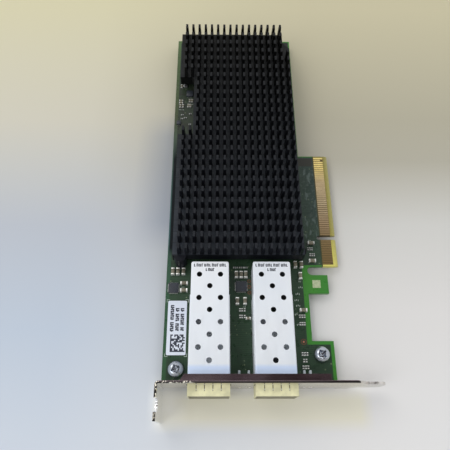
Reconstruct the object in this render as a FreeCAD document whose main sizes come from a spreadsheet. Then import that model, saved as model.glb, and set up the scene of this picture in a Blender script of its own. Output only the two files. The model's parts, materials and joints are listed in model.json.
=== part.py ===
import FreeCAD, Part
import math
import os
import re
import Sketcher

# Two-port network interface card with a full-height slot bracket.
# Frame: +X is the way the card is pushed into its slot, with X = 0 at the edge of the gold fingers.
# +Y runs along the card away from the bracket, with Y = 0 at the middle of the key notch.
# +Z leaves the component side, with Z = 0 on the board's top surface.  All lengths in millimetres.

doc = FreeCAD.newDocument("network_card")
dims = doc.addObject("Spreadsheet::Sheet", "dims")

# ---------------------------------------------------------------- driving sizes
SIZES = {
    # circuit board
    "board_thickness": 1.57,
    "board_height": 68.9,        # finger edge to the opposite long edge
    "board_near_reach": 57.6,    # key to the edge behind the bracket
    "board_far_reach": 108.6,    # key to the far edge
    "shoulder_inset": 12.85,     # finger edge to the long edge beside the connector
    "foot_inset": 4.8,           # finger edge to the edge of the foot behind the bracket
    "foot_step": 42.4,           # key to the step between foot and long edge
    "hook_inset": 4.75,          # finger edge to the tip of the retention hook
    "hook_width": 7.55,
    "connector_near_reach": 12.6,
    "connector_far_reach": 39.6,
    "relief_width": 3.7,         # slot between hook and connector
    "relief_depth": 12.6,        # finger edge to the slot's round end
    "key_width": 1.9,
    "key_depth": 7.7,
    "bevel_length": 1.3,
    "bevel_height": 0.47,
    # edge contacts
    "contact_width": 0.7,
    "contact_pitch": 1.0,
    "contact_inset": 2.0,
    "contact_length": 4.05,
    "contact_short": 1.1,        # how much shorter the two presence contacts are
    "contact_thickness": 0.04,
    "contact_key_gap": 1.5,      # key to the first contact on either side
    "contacts_near": 11,
    "contacts_far": 38,
    # bracket
    "bracket_sheet": 0.86,
    "bracket_gap": 0.59,         # bracket to the board's edge
    "bracket_width": 18.4,
    "bracket_drop": 4.1,         # board top to the bracket's lower edge
    "tab_overhang": 0.6,         # mounting tab's outer face beyond the board
    "tab_length": 11.8,
    "bend_radius": 1.4,
    "notch_width": 4.42,
    "notch_depth": 5.5,
    "notch_from_face": 6.75,
    "flange_from_tab": 8.4,
    "flange_slant": 1.3,
    "flange_end_inset": 10.0,
    "flange_reach": 2.09,
    "plate_full_inset": 0.8,
    "taper_upper": 4.1,
    "taper_lower": 3.0,
    "tongue_reach": 10.05,
    "tongue_width": 10.2,
    "tongue_radius": 3.2,
    "ear_width": 8.6,
    "ear_relief": 0.35,
    "left_ear_inset": 0.85,      # board's long edge to the left ear
    "left_ear_length": 9.05,
    "right_ear_inset": 5.5,      # finger edge to the right ear
    "right_ear_length": 15.05,
    "ear_bend_radius": 0.8,
    # bracket screws
    "screw_diameter": 2.9,
    "screw_clearance": 0.15,
    "screw_head_diameter": 6.1,
    "screw_head_height": 2.4,
    "screw_edge_radius": 0.7,
    "screw_tip": 0.5,            # screw beyond the ear
    "screw_cross_width": 0.8,
    "screw_cross_length": 3.2,
    "screw_cross_depth": 1.3,
    "left_screw_inset": 5.1,
    "left_screw_back": 6.35,     # bracket's front face to the left screw
    "right_screw_inset": 9.75,
    "right_screw_back": 11.65,
    # cages
    "port_a_inset": 17.45,       # board's long edge to the middle of port a
    "port_pitch": 23.4,
    "cage_width": 14.3,
    "cage_height": 9.8,
    "cage_length": 48.75,
    "cage_protrusion": 3.85,     # cage beyond the bracket's front face
    "cage_sheet": 0.25,
    "cage_top_radius": 0.35,
    "cage_rear_radius": 0.8,
    "vent_diameter": 2.0,
    "vent_side": 3.97,
    "vent_first": 5.15,          # cage's rear to its first pair of vents
    "vent_row_pitch": 4.52,
    "vent_pairs": 4,
    "cage_base_rear": 31.5,      # key to the end of the cage's floor
    "side_strip_rear": 27.0,     # key to the end of the outer side walls
    "side_strip_height": 8.9,
    "side_strip_gap": 0.1,       # board's edge to the front of the side walls
    "pin_width": 0.7,
    "pin_hole_diameter": 1.15,
    "pin_reach": 2.4,            # solder pins below the board's top
    "cover_pin_first": 2.35,     # cage's rear to its rear pins
    "cover_pin_pitch": 6.0,
    "base_pin_first": 2.6,       # board's edge to the first base pins
    "base_pin_pitch": 7.5,
    "base_pin_count": 4,
    # spring-finger ring round each cage mouth
    "ring_sheet": 0.2,
    "ring_reach_back": 0.44,     # ring behind the bracket
    "ring_band": 1.7,            # closed band at the mouth
    "finger_gap": 0.3,
    "fingers_wide": 5,
    "fingers_high": 3,
    "aperture_clearance": 0.2,
    # status lights
    "light_hole_diameter": 1.8,
    "light_hole_height": 0.6,
    "light_back": 5.15,          # bracket's front face to the lights
    "light_length": 1.6,
    "light_width": 0.9,
    "light_thickness": 1.1,
    "light_a_gap": 3.3,          # first light beyond the side of port a's opening
    "light_a_pitch": 3.5,
    "light_b_gap": 3.7,
    "light_b_pitch": 2.2,
    # host connectors inside the cages
    "host_width": 13.0,
    "host_length": 12.8,
    "host_height": 5.7,
    "host_from_rear": 3.35,      # cage's rear to the connector
    "host_slot_width": 10.8,
    "host_slot_height": 1.4,
    "host_slot_depth": 7.0,
    "host_slot_level": 3.4,
    "host_contact_count": 10,
    "host_contact_pitch": 0.8,
    "host_contact_width": 0.4,
    "host_contact_thickness": 0.15,
    "host_contact_length": 4.5,
    "host_tail_length": 1.2,
    # heatsink
    "sink_gap": 2.8,             # board to the underside of the heatsink
    "sink_base": 4.85,
    "sink_pin_height": 6.35,
    "sink_left_inset": 2.6,
    "sink_right_inset": 14.5,
    "sink_near": 10.7,
    "sink_far_inset": 3.4,
    "sink_corner_step": 3.1,
    "sink_corner_run": 8.9,
    "sink_corner_slant": 3.6,
    "sink_missing_rows": 3,      # rows that the last column of pins stops short of the far edge
    "sink_columns": 17,
    "sink_rows": 24,
    "sink_column_pitch": 2.965,
    "sink_row_pitch": 4.93,
    "sink_pin_length": 2.35,
    "sink_pin_tip": 1.0,
    "sink_pin_root": 1.5,
    "sink_first_column": 2.68,   # heatsink's long edge to the first column
    "sink_first_row": 0.16,
    "cutout_depth": 6.5,
    "cutout_near": 46.05,
    "cutout_far": 78.2,
    "cutout_radius": 1.0,
    "boss_radius": 2.4,
    "small_boss_radius": 2.0,
    "boss_edge": 5.6,            # board's long edge to the near left and far left bosses
    "near_boss": 11.0,
    "side_boss_inset": 15.3,
    "side_boss": 8.0,
    "far_boss_inset": 7.1,       # board's far edge to the far bosses
    "far_boss_side": 21.5,
    "boss_rise": 2.0,            # bosses run into the base
    # heatsink screws
    "sink_screw_diameter": 2.4,
    "sink_screw_bite": 4.0,
    "sink_screw_head": 4.4,
    "sink_screw_head_height": 1.5,
    "sink_screw_slot": 0.6,
    # network controller
    "controller_side": 28.9,     # board's long edge to the middle of the controller
    "controller_ahead": 42.0,
    "controller_size": 25.0,
    "controller_thickness": 1.2,
    "lid_size": 21.0,
    "lid_thickness": 1.1,
    "lid_radius": 1.0,
    "pad_size": 20.0,
    # power parts under the heatsink
    "inductor_size": 6.4,
    "inductor_height": 2.4,
    "inductor_count": 3,
    "inductor_pitch": 9.0,
    "inductor_side": 48.4,
    "inductor_ahead": 68.0,
    "regulator_length": 6.0,
    "regulator_width": 5.0,
    "regulator_height": 0.95,
    "regulator_from_inductor": 8.5,
    # chips in the open
    "port_chip_side": 3.0,
    "port_chip_back": 7.65,      # cage's rear to the chip
    "port_chip_size": 4.0,
    "power_chip_back": 7.05,
    "power_chip_shift": 0.45,    # middle between the ports to the middle of the chip
    "power_chip_length": 4.2,
    "power_chip_width": 4.4,
    "chip_height": 0.9,
    "flash_side": 6.7,
    "flash_from_wall": 3.75,     # cut-out's far wall to the flash chip
    "flash_size": 3.15,
    "oscillator_side": 4.6,
    "oscillator_size": 2.0,
    "oscillator_past_wall": 1.15,
    "oscillator_height": 0.85,
    "sensor_side": 2.0,
    "sensor_from_wall": 11.45,   # cut-out's near wall to the sensor chip
    "sensor_size": 1.9,
    # label
    "label_side": 1.2,
    "label_width": 7.3,
    "label_length": 20.7,
    "label_from_edge": 10.0,
    "label_thickness": 0.1,
    # two-terminal parts, by size
    "large_length": 2.8,
    "large_width": 1.3,
    "large_height": 1.2,
    "large_terminal": 0.5,
    "medium_length": 1.8,
    "medium_width": 0.9,
    "medium_height": 0.7,
    "medium_terminal": 0.35,
    "small_length": 1.1,
    "small_width": 0.55,
    "small_height": 0.45,
    "small_terminal": 0.25,
    # decoupling field under the controller, on the solder side
    "field_columns": 6,
    "field_rows": 5,
    "field_column_pitch": 3.2,
    "field_row_pitch": 3.0,
    "under_chip_size": 5.0,
    "under_chip_thickness": 0.9,
    "under_chip_ahead": 18.0,
}

# Places worked out from the sizes, each written once.
PLACES = {
    "board_left": "-board_height",
    "board_near": "-board_near_reach",
    "board_bottom": "-board_thickness",
    "bracket_back": "board_near - bracket_gap",
    "bracket_front": "bracket_back - bracket_sheet",
    "bracket_low": "-bracket_drop",
    "bracket_top": "bracket_width - bracket_drop",
    "tab_face": "board_left - tab_overhang",
    "tab_inner": "tab_face + bracket_sheet",
    "ear_top": "board_bottom",
    "ear_bottom": "board_bottom - bracket_sheet",
    "left_ear": "board_left + left_ear_inset",
    "right_ear": "-right_ear_inset - ear_width",
    "tongue_top": "tongue_width",
    "left_screw_x": "board_left + left_screw_inset",
    "left_screw_y": "bracket_front + left_screw_back",
    "right_screw_x": "-right_screw_inset",
    "right_screw_y": "bracket_front + right_screw_back",
    "screw_hole": "screw_diameter / 2 + screw_clearance",
    "port_a": "board_left + port_a_inset",
    "port_b": "port_a + port_pitch",
    "ports_middle": "port_a + port_pitch / 2",
    "cage_half": "cage_width / 2",
    "cage_front": "bracket_front - cage_protrusion",
    "cage_rear": "cage_front + cage_length",
    "ring_rear": "bracket_back + ring_reach_back",
    "aperture_half": "cage_half + ring_sheet + aperture_clearance",
    "aperture_low": "-ring_sheet - aperture_clearance",
    "aperture_high": "cage_height + ring_sheet + aperture_clearance",
    "strip_front": "board_near + side_strip_gap",
    "strip_rear": "-side_strip_rear",
    "floor_rear": "-cage_base_rear",
    "strip_half": "cage_half + cage_sheet",
    "light_a": "port_a + aperture_half + light_a_gap",
    "light_b": "port_b + aperture_half + light_b_gap",
    "light_y": "bracket_front + light_back",
    "host_rear": "cage_rear - host_from_rear",
    "host_front": "host_rear - host_length",
    "sink_left": "board_left + sink_left_inset",
    "sink_right": "-sink_right_inset",
    "sink_edge": "-sink_near",
    "sink_far": "board_far_reach - sink_far_inset",
    "sink_under": "sink_gap",
    "sink_deck": "sink_gap + sink_base",
    "sink_top": "sink_deck + sink_pin_height",
    "first_column": "sink_left + sink_first_column",
    "first_row": "sink_edge + sink_first_row",
    "cutout_wall": "sink_left + cutout_depth",
    "near_boss_x": "board_left + boss_edge",
    "near_boss_y": "-near_boss",
    "side_boss_x": "-side_boss_inset",
    "side_boss_y": "-side_boss",
    "far_boss_x": "-far_boss_side",
    "far_boss_y": "board_far_reach - far_boss_inset",
    "controller_x": "board_left + controller_side",
    "controller_y": "controller_ahead",
    "lid_top": "controller_thickness + lid_thickness",
}


def fill_sheet():
    """One row for each driving size: its name, and its value under an alias."""
    for row, (alias, size) in enumerate(SIZES.items(), start=1):
        dims.set("A%d" % row, alias)
        dims.set("B%d" % row, str(size))
        dims.setAlias("B%d" % row, alias)
    doc.recompute()


def formula(text):
    """Document expression for a formula that is written with sizes and places."""
    def expand(match):
        word = match.group(0)
        if word in PLACES:
            return "(" + formula(PLACES[word]) + ")"
        if word in SIZES:
            return "dims." + word
        return word
    return re.sub(r"[a-z][a-z0-9_]*", expand, str(text))


def number(text):
    """Value of a formula, in millimetres."""
    return float(dims.evalExpression(formula(text)))


def count(text):
    return int(round(number(text)))


# ---------------------------------------------------------------- sketches and features
def new_body(label):
    body = doc.addObject("PartDesign::Body", label)
    body.Label = label
    return body


def new_sketch(body, name, plane, offset):
    """Empty sketch on one of the body's origin planes, moved along the plane's normal."""
    support = [item for item in body.Origin.OriginFeatures if item.Role == plane][0]
    sketch = body.newObject("Sketcher::SketchObject", name)
    sketch.AttachmentSupport = [(support, "")]
    sketch.MapMode = "FlatFace"
    sketch.setExpression("AttachmentOffset.Base.z", formula(offset))
    return sketch


def fix_distance(sketch, kind, element, vertex, text):
    """Bind a vertex's distance from the sketch's origin to a formula."""
    index = sketch.addConstraint(Sketcher.Constraint(kind, element, vertex, number(text)))
    sketch.setExpression("Constraints[%d]" % index, formula(text))


def add_outline(sketch, points, rounds_left=(), rounds_right=()):
    """Closed outline through points given as formulas.

    A side whose number is in rounds_left or rounds_right is a half circle on that side of the path.
    """
    first = sketch.GeometryCount
    corners = [FreeCAD.Vector(number(x), number(y), 0) for x, y in points]
    total = len(corners)
    ends = []
    for side, start in enumerate(corners):
        finish = corners[(side + 1) % total]
        if side in rounds_left or side in rounds_right:
            centre = (start + finish) / 2
            circle = Part.Circle(centre, FreeCAD.Vector(0, 0, 1), (finish - start).Length / 2)
            arc_start = finish if side in rounds_left else start
            angle = math.atan2(arc_start.y - centre.y, arc_start.x - centre.x)
            sketch.addGeometry(Part.ArcOfCircle(circle, angle, angle + math.pi))
            ends.append((2, 1) if side in rounds_left else (1, 2))
        else:
            sketch.addGeometry(Part.LineSegment(start, finish))
            ends.append((1, 2))
    for side in range(total):
        following = (side + 1) % total
        sketch.addConstraint(Sketcher.Constraint(
            "Coincident", first + side, ends[side][1], first + following, ends[following][0]))
    for side, (x, y) in enumerate(points):
        fix_distance(sketch, "DistanceX", first + side, ends[side][0], x)
        fix_distance(sketch, "DistanceY", first + side, ends[side][0], y)
    for side in rounds_left + rounds_right:
        start = corners[side]
        finish = corners[(side + 1) % total]
        if abs(finish.x - start.x) < abs(finish.y - start.y):
            fix_distance(sketch, "DistanceX", first + side, 3, points[side][0])
        else:
            fix_distance(sketch, "DistanceY", first + side, 3, points[side][1])


def add_rectangle(sketch, x_low, x_high, y_low, y_high):
    add_outline(sketch, [(x_low, y_low), (x_high, y_low), (x_high, y_high), (x_low, y_high)])


def add_circle(sketch, x, y, radius):
    centre = FreeCAD.Vector(number(x), number(y), 0)
    index = sketch.addGeometry(Part.Circle(centre, FreeCAD.Vector(0, 0, 1), number(radius)))
    fix_distance(sketch, "DistanceX", index, 3, x)
    fix_distance(sketch, "DistanceY", index, 3, y)
    constraint = sketch.addConstraint(Sketcher.Constraint("Radius", index, number(radius)))
    sketch.setExpression("Constraints[%d]" % constraint, formula(radius))


def pad(body, sketch, length):
    """Add material along the sketch plane's normal."""
    doc.recompute()
    feature = body.newObject("PartDesign::Pad", sketch.Name + "_pad")
    feature.Profile = sketch
    feature.setExpression("Length", formula(length))
    doc.recompute()
    return feature


def pocket(body, sketch, depth=None, along_normal=False):
    """Remove material, right through both ways when no depth is given."""
    doc.recompute()
    before = body.Shape.Volume
    feature = body.newObject("PartDesign::Pocket", sketch.Name + "_pocket")
    feature.Profile = sketch
    if depth is None:
        feature.SideType = "Symmetric"
        feature.Type = "ThroughAll"
    else:
        feature.Reversed = along_normal
        feature.setExpression("Length", formula(depth))
    doc.recompute()
    if body.Shape.Volume >= before:
        raise RuntimeError(feature.Name + " removes nothing")
    return feature


def edge_names(feature, wanted):
    """Names of the feature's edges that pass a test."""
    return ["Edge%d" % (place + 1) for place, edge in enumerate(feature.Shape.Edges) if wanted(edge)]


def round_edges(body, feature, wanted, radius, name):
    fillet = body.newObject("PartDesign::Fillet", name)
    fillet.Base = (feature, edge_names(feature, wanted))
    fillet.setExpression("Radius", formula(radius))
    doc.recompute()
    return fillet


def runs_along(edge, axis):
    """True for a straight edge that is parallel to the named axis."""
    if len(edge.Vertexes) != 2 or not isinstance(edge.Curve, Part.Line):
        return False
    direction = edge.Curve.Direction
    return abs(abs(getattr(direction, axis)) - 1) < 1e-6


def lies_at(edge, **places):
    """True when the edge's middle has the given coordinates."""
    middle = edge.CenterOfMass
    return all(abs(getattr(middle, axis) - place) < 1e-3 for axis, place in places.items())


def repeat_linear(body, feature, axis, pitch, copies, name, backwards=False):
    """Pattern of a feature along one of the body's axes."""
    line = [item for item in body.Origin.OriginFeatures if item.Role == axis][0]
    pattern = body.newObject("PartDesign::LinearPattern", name)
    pattern.Originals = [feature]
    pattern.Direction = (line, [""])
    pattern.Reversed = backwards
    pattern.Mode = "Spacing"
    pattern.setExpression("Offset", formula(pitch))
    pattern.setExpression("Occurrences", formula(copies))
    body.Tip = pattern
    doc.recompute()
    return pattern


# ---------------------------------------------------------------- primitives and groups
def block(name, x_low, x_high, y_low, y_high, z_low, z_high):
    """Block between two formulas on each axis."""
    piece = doc.addObject("Part::Box", name)
    piece.Label = name
    for side, axis, low, high in (
            ("Length", "x", x_low, x_high),
            ("Width", "y", y_low, y_high),
            ("Height", "z", z_low, z_high)):
        piece.setExpression(side, formula("(%s) - (%s)" % (high, low)))
        piece.setExpression("Placement.Base." + axis, formula(low))
    return piece


def centred_block(name, x, y, width, length, z_low, z_high):
    return block(name, "(%s) - (%s) / 2" % (x, width), "(%s) + (%s) / 2" % (x, width),
                 "(%s) - (%s) / 2" % (y, length), "(%s) + (%s) / 2" % (y, length), z_low, z_high)


def solid_block(x_low, x_high, y_low, y_high, z_low, z_high):
    """Plain solid between two numbers on each axis, for groups of separate solids."""
    corner = FreeCAD.Vector(x_low, y_low, z_low)
    return Part.makeBox(x_high - x_low, y_high - y_low, z_high - z_low, corner)


def solid_group(label, solids):
    """One node that holds several separate solids."""
    group = doc.addObject("Part::Feature", label)
    group.Label = label
    group.Shape = Part.makeCompound(solids)
    group.Placement = FreeCAD.Placement()
    return group


# ---------------------------------------------------------------- circuit board
def make_board(pin_places):
    body = new_body("circuit_board")
    plan = new_sketch(body, "board_plan", "XY_Plane", "board_bottom")
    hook_far = "-connector_near_reach - relief_width"
    add_outline(plan, [
        ("board_left", "board_near"),
        ("-foot_inset", "board_near"),
        ("-foot_inset", "-foot_step"),
        ("-shoulder_inset", "-foot_step"),
        ("-shoulder_inset", hook_far + " - hook_width"),
        ("-hook_inset", hook_far + " - hook_width"),
        ("-hook_inset", hook_far),
        ("-relief_depth + relief_width / 2", hook_far),
        ("-relief_depth + relief_width / 2", "-connector_near_reach"),
        ("0", "-connector_near_reach"),
        ("0", "-key_width / 2"),
        ("-key_depth + key_width / 2", "-key_width / 2"),
        ("-key_depth + key_width / 2", "key_width / 2"),
        ("0", "key_width / 2"),
        ("0", "connector_far_reach"),
        ("-shoulder_inset", "connector_far_reach"),
        ("-shoulder_inset", "board_far_reach"),
        ("board_left", "board_far_reach"),
    ], rounds_left=(7, 11))
    pad(body, plan, "board_thickness")

    bevel = new_sketch(body, "edge_bevel", "XZ_Plane", "-connector_far_reach")
    add_outline(bevel, [("-bevel_length", "0"), ("0", "-bevel_height"), ("0", "0")])
    add_outline(bevel, [("-bevel_length", "board_bottom"), ("0", "board_bottom"),
                        ("0", "board_bottom + bevel_height")])
    pocket(body, bevel, "connector_far_reach + connector_near_reach", along_normal=True)

    holes = new_sketch(body, "screw_holes", "XY_Plane", "0")
    add_circle(holes, "left_screw_x", "left_screw_y", "screw_hole")
    add_circle(holes, "right_screw_x", "right_screw_y", "screw_hole")
    for x, y in sink_screw_places():
        add_circle(holes, x, y, "sink_screw_diameter / 2 + screw_clearance")
    pocket(body, holes)

    pin_holes = new_sketch(body, "pin_holes", "XY_Plane", "0")
    for x, y in pin_places:
        add_circle(pin_holes, x, y, "pin_hole_diameter / 2")
    pocket(body, pin_holes)
    return body


def make_edge_contacts(label, z_low, z_high):
    """Row of gold contacts on one side of the board, on both sides of the key."""
    solids = []
    pitch = number("contact_pitch")
    half = number("contact_width / 2")
    tip = number("-contact_inset")
    root = number("-contact_inset - contact_length")
    near = [-number("contact_key_gap") - pitch * place for place in range(count("contacts_near"))]
    far = [number("contact_key_gap") + pitch * place for place in range(count("contacts_far"))]
    presence = (near[-1], far[-2])
    for middle in near + far:
        end = tip - number("contact_short") if middle in presence else tip
        solids.append(solid_block(root, end, middle - half, middle + half, number(z_low), number(z_high)))
    return solid_group(label, solids)


# ---------------------------------------------------------------- bracket and its screws
def make_bracket():
    body = new_body("bracket")
    plan = new_sketch(body, "bracket_plan", "XY_Plane", "bracket_low")
    tab_end = "bracket_front - tab_length"
    add_outline(plan, [
        ("tab_face", tab_end),
        ("tab_inner", tab_end),
        ("tab_inner", "bracket_front"),
        ("tongue_reach", "bracket_front"),
        ("tongue_reach", "bracket_back"),
        ("tab_face", "bracket_back"),
    ])
    strip = pad(body, plan, "bracket_width")
    tab_face = number("tab_face")
    tab_inner = number("tab_inner")
    back = number("bracket_back")
    front = number("bracket_front")
    outer = round_edges(body, strip, lambda edge: runs_along(edge, "z")
                        and lies_at(edge, x=tab_face, y=back), "bend_radius", "bend_outside")
    round_edges(body, outer, lambda edge: runs_along(edge, "z")
                and lies_at(edge, x=tab_inner, y=front), "bend_radius - bracket_sheet", "bend_inside")

    tongue = new_sketch(body, "tongue_sides", "XZ_Plane", "-bracket_back")
    full = "-plate_full_inset"
    add_outline(tongue, [(full, "bracket_top"), (full + " + taper_upper", "tongue_top"),
                         ("tongue_reach", "tongue_top"), ("tongue_reach", "bracket_top")])
    add_outline(tongue, [(full, "bracket_low"), ("tongue_reach", "bracket_low"),
                         ("tongue_reach", "0"), (full + " + taper_lower", "0")])
    sides = pocket(body, tongue, "bracket_sheet", along_normal=True)
    end = number("tongue_reach")
    round_edges(body, sides, lambda edge: runs_along(edge, "y")
                and abs(edge.CenterOfMass.x - end) < 1e-3, "tongue_radius", "tongue_end")

    notch = new_sketch(body, "screw_notch", "YZ_Plane", "tab_inner")
    notch_near = "bracket_front - notch_from_face - notch_width / 2"
    notch_far = "bracket_front - notch_from_face + notch_width / 2"
    notch_root = "bracket_top - notch_depth + notch_width / 2"
    add_outline(notch, [(notch_near, "bracket_top"), (notch_near, notch_root),
                        (notch_far, notch_root), (notch_far, "bracket_top")], rounds_right=(1,))
    pocket(body, notch, "bracket_sheet")

    flange = new_sketch(body, "flange_plan", "XY_Plane", "bracket_top - bracket_sheet")
    flange_left = "tab_face + flange_from_tab"
    add_outline(flange, [
        (flange_left, "bracket_front"),
        ("-flange_end_inset", "bracket_front"),
        ("-flange_end_inset", "bracket_back + flange_reach"),
        (flange_left + " + flange_slant", "bracket_back + flange_reach"),
        (flange_left, "bracket_back"),
    ])
    fold = pad(body, flange, "bracket_sheet")
    top = number("bracket_top")
    round_edges(body, fold, lambda edge: runs_along(edge, "x") and edge.Length > number("bracket_width")
                and lies_at(edge, y=front, z=top), "ear_bend_radius", "flange_bend")

    relief = new_sketch(body, "ear_relief", "XZ_Plane", "-bracket_back")
    for ear in ("left_ear", "right_ear"):
        left = ear + " - ear_relief"
        right = ear + " + ear_width + ear_relief"
        add_rectangle(relief, left, right, "bracket_low", "ear_top")
    pocket(body, relief, "bracket_sheet", along_normal=True)
    ears = new_sketch(body, "ear_plan", "XY_Plane", "ear_bottom")
    for ear, length in (("left_ear", "left_ear_length"), ("right_ear", "right_ear_length")):
        add_rectangle(ears, ear, ear + " + ear_width", "bracket_front", "bracket_front + " + length)
    folded = pad(body, ears, "bracket_sheet")
    low = number("ear_bottom")
    round_edges(body, folded, lambda edge: runs_along(edge, "x")
                and lies_at(edge, y=front, z=low), "ear_bend_radius", "ear_bend")

    threads = new_sketch(body, "ear_threads", "XY_Plane", "ear_bottom")
    for x, y in (("left_screw_x", "left_screw_y"), ("right_screw_x", "right_screw_y")):
        add_circle(threads, x, y, "screw_hole")
    pocket(body, threads)

    openings = new_sketch(body, "port_openings", "XZ_Plane", "-bracket_back")
    for port in ("port_a", "port_b"):
        add_rectangle(openings, port + " - aperture_half", port + " + aperture_half",
                      "aperture_low", "aperture_high")
    for light in light_places():
        add_circle(openings, light, "light_hole_height", "light_hole_diameter / 2")
    pocket(body, openings, "bracket_sheet", along_normal=True)
    return body


def make_bracket_screws():
    """Two pan-head screws with a cross recess, from the board's top into the bracket's ears."""
    body = new_body("bracket_screw_form")
    section = new_sketch(body, "screw_section", "XZ_Plane", "0")
    shank_end = "ear_bottom - screw_tip"
    add_outline(section, [("0", shank_end), ("screw_diameter / 2", shank_end), ("screw_diameter / 2", "0"),
                          ("screw_head_diameter / 2", "0"), ("screw_head_diameter / 2", "screw_head_height"),
                          ("0", "screw_head_height")])
    doc.recompute()
    turned = body.newObject("PartDesign::Revolution", "screw_turned")
    turned.Profile = section
    turned.ReferenceAxis = (section, ["V_Axis"])
    turned.Angle = 360
    doc.recompute()
    top = number("screw_head_height")
    round_edges(body, turned, lambda edge: lies_at(edge, z=top) and edge.Length > number("screw_diameter"),
                "screw_edge_radius", "screw_rim")
    cross = new_sketch(body, "screw_cross", "XY_Plane", "screw_head_height")
    arm = "screw_cross_length / 2"
    half = "screw_cross_width / 2"
    add_outline(cross, [
        (half, half), (arm, half), (arm, "-" + half), (half, "-" + half), (half, "-" + arm),
        ("-" + half, "-" + arm), ("-" + half, "-" + half), ("-" + arm, "-" + half), ("-" + arm, half),
        ("-" + half, half), ("-" + half, arm), (half, arm)][::-1])
    pocket(body, cross, "screw_cross_depth")
    places = (("left_screw_x", "left_screw_y"), ("right_screw_x", "right_screw_y"))
    return solid_group("bracket_screws", copies_at(body.Shape, places))


def copies_at(shape, places):
    """Copies of a shape, each moved to its own place on the board."""
    return [shape.translated(FreeCAD.Vector(number(x), number(y), 0)) for x, y in places]


# ---------------------------------------------------------------- port cages
def cover_pin_places(port):
    """Centres of the four rear solder pins of a cage's cover."""
    x_offset = "(cage_half - cage_sheet / 2)"
    rows = ("cage_rear - cover_pin_first", "cage_rear - cover_pin_first - cover_pin_pitch")
    return [("%s %s %s" % (port, sign, x_offset), y) for sign in "+-" for y in rows]


def base_pin_places(port):
    """Centres of the solder pins of a cage's base."""
    x_offset = "(cage_half + cage_sheet / 2)"
    rows = ["board_near + base_pin_first + %d * base_pin_pitch" % row
            for row in range(count("base_pin_count"))]
    return [("%s %s %s" % (port, sign, x_offset), y) for sign in "+-" for y in rows]


def add_pins(body, name, places, top):
    """Flat solder pins that go down through the board."""
    pins = new_sketch(body, name, "XY_Plane", "-pin_reach")
    for x, y in places:
        add_rectangle(pins, x + " - cage_sheet / 2", x + " + cage_sheet / 2",
                      y + " - pin_width / 2", y + " + pin_width / 2")
    return pad(body, pins, "pin_reach + " + top)


def make_cage_cover(letter, port):
    body = new_body("cage_cover_" + letter)
    plan = new_sketch(body, "cover_plan_" + letter, "XY_Plane", "cage_sheet")
    add_rectangle(plan, port + " - cage_half", port + " + cage_half", "cage_front", "cage_rear")
    shell = pad(body, plan, "cage_height - cage_sheet")
    top = number("cage_height")
    rear = number("cage_rear")
    folds = round_edges(body, shell, lambda edge: runs_along(edge, "z")
                        and abs(edge.CenterOfMass.y - rear) < 1e-3,
                        "cage_rear_radius", "cover_rear_" + letter)
    round_edges(body, folds, lambda edge: abs(edge.CenterOfMass.z - top) < 1e-3
                and edge.CenterOfMass.y > number("cage_front") + 1, "cage_top_radius", "cover_top_" + letter)

    bay = new_sketch(body, "cover_bay_" + letter, "XZ_Plane", "-cage_front")
    inner = "(cage_half - cage_sheet)"
    add_rectangle(bay, port + " - " + inner, port + " + " + inner, "0", "cage_height - cage_sheet")
    pocket(body, bay, "cage_length - cage_sheet")

    pair = new_sketch(body, "vent_pair_" + letter, "XY_Plane", "cage_height")
    for side in (" - vent_side", " + vent_side"):
        add_circle(pair, port + side, "cage_rear - vent_first", "vent_diameter / 2")
    first_pair = pocket(body, pair, "2 * cage_sheet")
    repeat_linear(body, first_pair, "Y_Axis", "2 * vent_row_pitch", "vent_pairs",
                  "vent_pairs_" + letter, backwards=True)
    single = new_sketch(body, "vent_single_" + letter, "XY_Plane", "cage_height")
    add_circle(single, port, "cage_rear - vent_first - vent_row_pitch", "vent_diameter / 2")
    first_single = pocket(body, single, "2 * cage_sheet")
    repeat_linear(body, first_single, "Y_Axis", "2 * vent_row_pitch", "vent_pairs",
                  "vent_singles_" + letter, backwards=True)
    add_pins(body, "cover_pins_" + letter, cover_pin_places(port), "2 * cage_sheet")
    return body


def make_cage_base(letter, port):
    """Floor of the cage with its outer side walls folded up, and its solder pins."""
    body = new_body("cage_base_" + letter)
    floor = new_sketch(body, "floor_plan_" + letter, "XY_Plane", "0")
    add_outline(floor, [
        (port + " - cage_half", "cage_front"), (port + " + cage_half", "cage_front"),
        (port + " + cage_half", "strip_front"), (port + " + strip_half", "strip_front"),
        (port + " + strip_half", "floor_rear"), (port + " - strip_half", "floor_rear"),
        (port + " - strip_half", "strip_front"), (port + " - cage_half", "strip_front"),
    ])
    pad(body, floor, "cage_sheet")
    walls = new_sketch(body, "side_walls_" + letter, "XY_Plane", "0")
    add_rectangle(walls, port + " - strip_half", port + " - cage_half", "strip_front", "strip_rear")
    add_rectangle(walls, port + " + cage_half", port + " + strip_half", "strip_front", "strip_rear")
    pad(body, walls, "side_strip_height")
    add_pins(body, "base_pins_" + letter, base_pin_places(port), "cage_sheet")
    return body


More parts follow.
